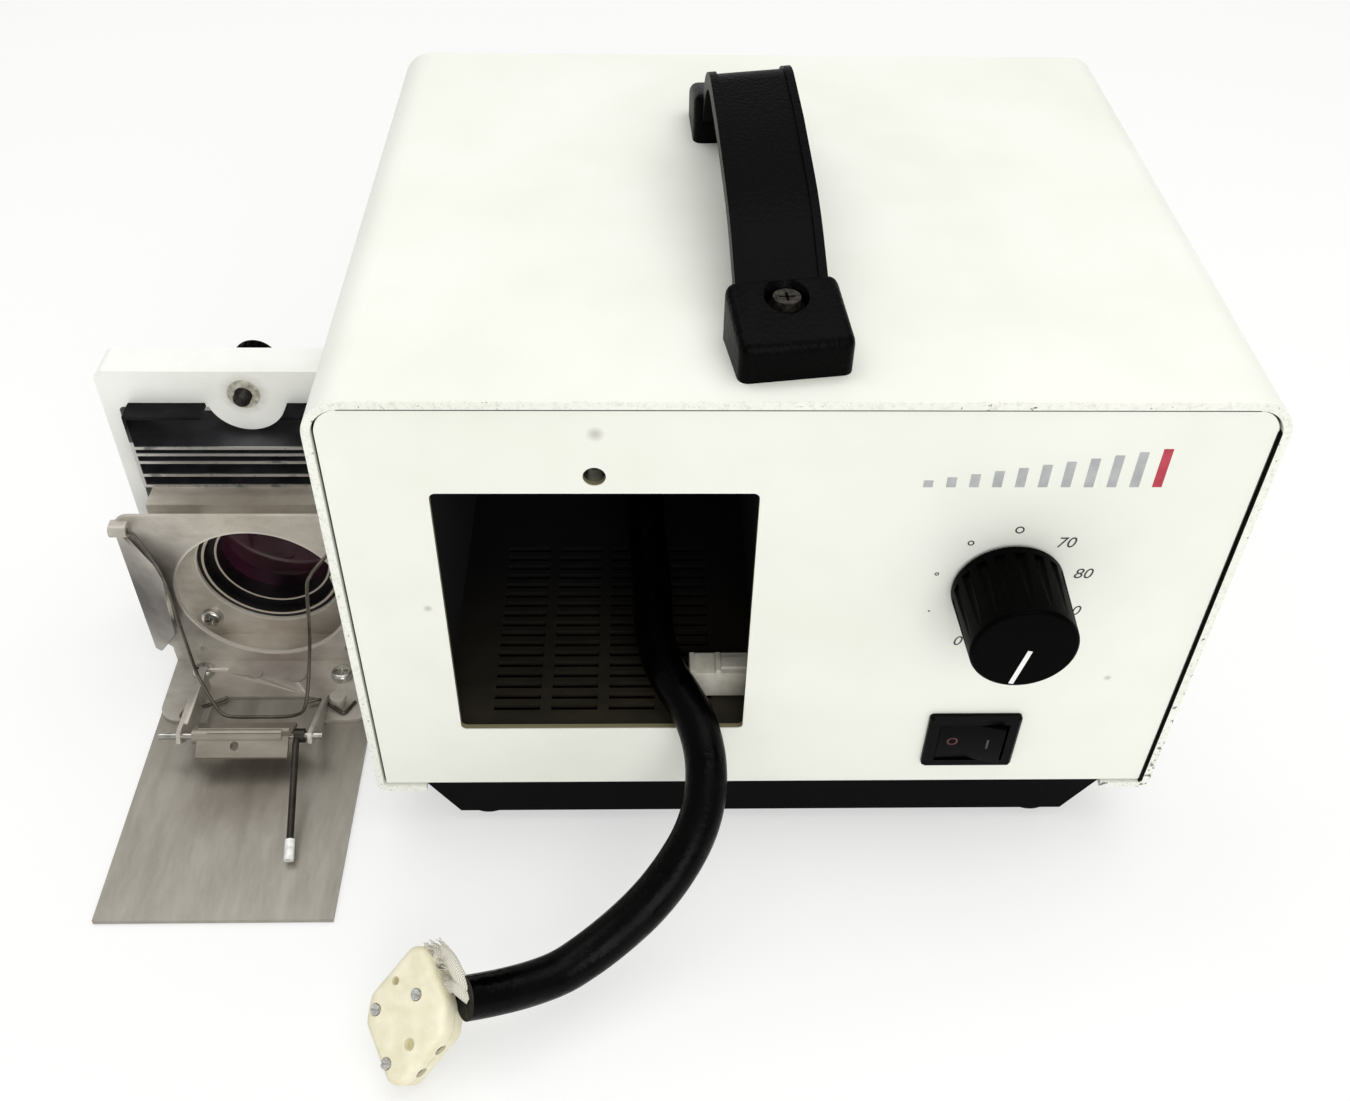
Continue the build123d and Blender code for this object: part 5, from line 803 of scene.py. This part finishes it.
# floor and light: a white bench that also glows a little to the camera, a pale room and three lamps
floor = dict(size=4.0, z=-0.0002, colour="#F9F9F7", glow=0.5, room=0.48)
floorMesh = bpy.data.meshes.new("benchTop")
shape = bmesh.new()
bmesh.ops.create_grid(shape, x_segments=1, y_segments=1, size=floor["size"],
                      matrix=Matrix.Translation((0, 0, floor["z"])))
shape.to_mesh(floorMesh)
shape.free()
benchTop = newObject("benchTop", floorMesh)
floorFinish = bpy.data.materials.new("whiteBench")
floorFinish.use_nodes = True
tree = floorFinish.node_tree
tree.nodes.clear()
matt = addNode(tree, "BsdfDiffuse", {"Color": linear(floor["colour"])})
glow = addNode(tree, "Emission", {"Color": (1, 1, 1, 1), "Strength": 1.0})
path = addNode(tree, "LightPath").outputs
seen = addNode(tree, "Math", {0: path["Is Camera Ray"], 1: path["Is Glossy Ray"]}, operation="MAXIMUM")
seen = addNode(tree, "Math", {0: seen, 1: path["Is Transmission Ray"]}, operation="MAXIMUM")
share = addNode(tree, "Math", {0: seen, 1: floor["glow"]}, operation="MULTIPLY")
blend = addNode(tree, "MixShader", {0: share, 1: matt, 2: glow})
addNode(tree, "OutputMaterial", {"Surface": blend})
floorMesh.materials.append(floorFinish)

world = bpy.data.worlds.new("paleRoom")
bpy.context.scene.world = world
world.use_nodes = True
tree = world.node_tree
tree.nodes.clear()
room = addNode(tree, "Background", {"Color": (1, 1, 1, 1), "Strength": floor["room"]})
white = addNode(tree, "Background", {"Color": (1, 1, 1, 1), "Strength": 1.0})
path = addNode(tree, "LightPath").outputs
seen = addNode(tree, "Math", {0: path["Is Camera Ray"], 1: path["Is Transmission Ray"]}, operation="MAXIMUM")
blend = addNode(tree, "MixShader", {0: seen, 1: room, 2: white})
addNode(tree, "OutputWorld", {"Surface": blend})

lamps = (
    dict(name="leftCeilingLight", place=(-0.5, 0.3, 1.3), aim=(0, 0, 0.05), size=0.7, power=3.4),
    dict(name="rightCeilingLight", place=(0.4, 0.1, 1.5), aim=(0, 0, 0.05), size=1.3, power=9.4),
    dict(name="frontLight", place=(0.35, -1.5, 0.9), aim=(0, 0, 0.08), size=1.1, power=11.5),
)
for lamp in lamps:
    light = bpy.data.lights.new(lamp["name"], "AREA")
    light.size = lamp["size"]
    light.energy = lamp["power"]
    place = Vector(lamp["place"])
    aim = (Vector(lamp["aim"]) - place).to_track_quat("-Z", "Y")
    holder = newObject(lamp["name"], light)
    holder.matrix_world = Matrix.Translation(place) @ aim.to_matrix().to_4x4()
bpy.context.scene.view_settings.view_transform = "Standard"
print("stage lit")
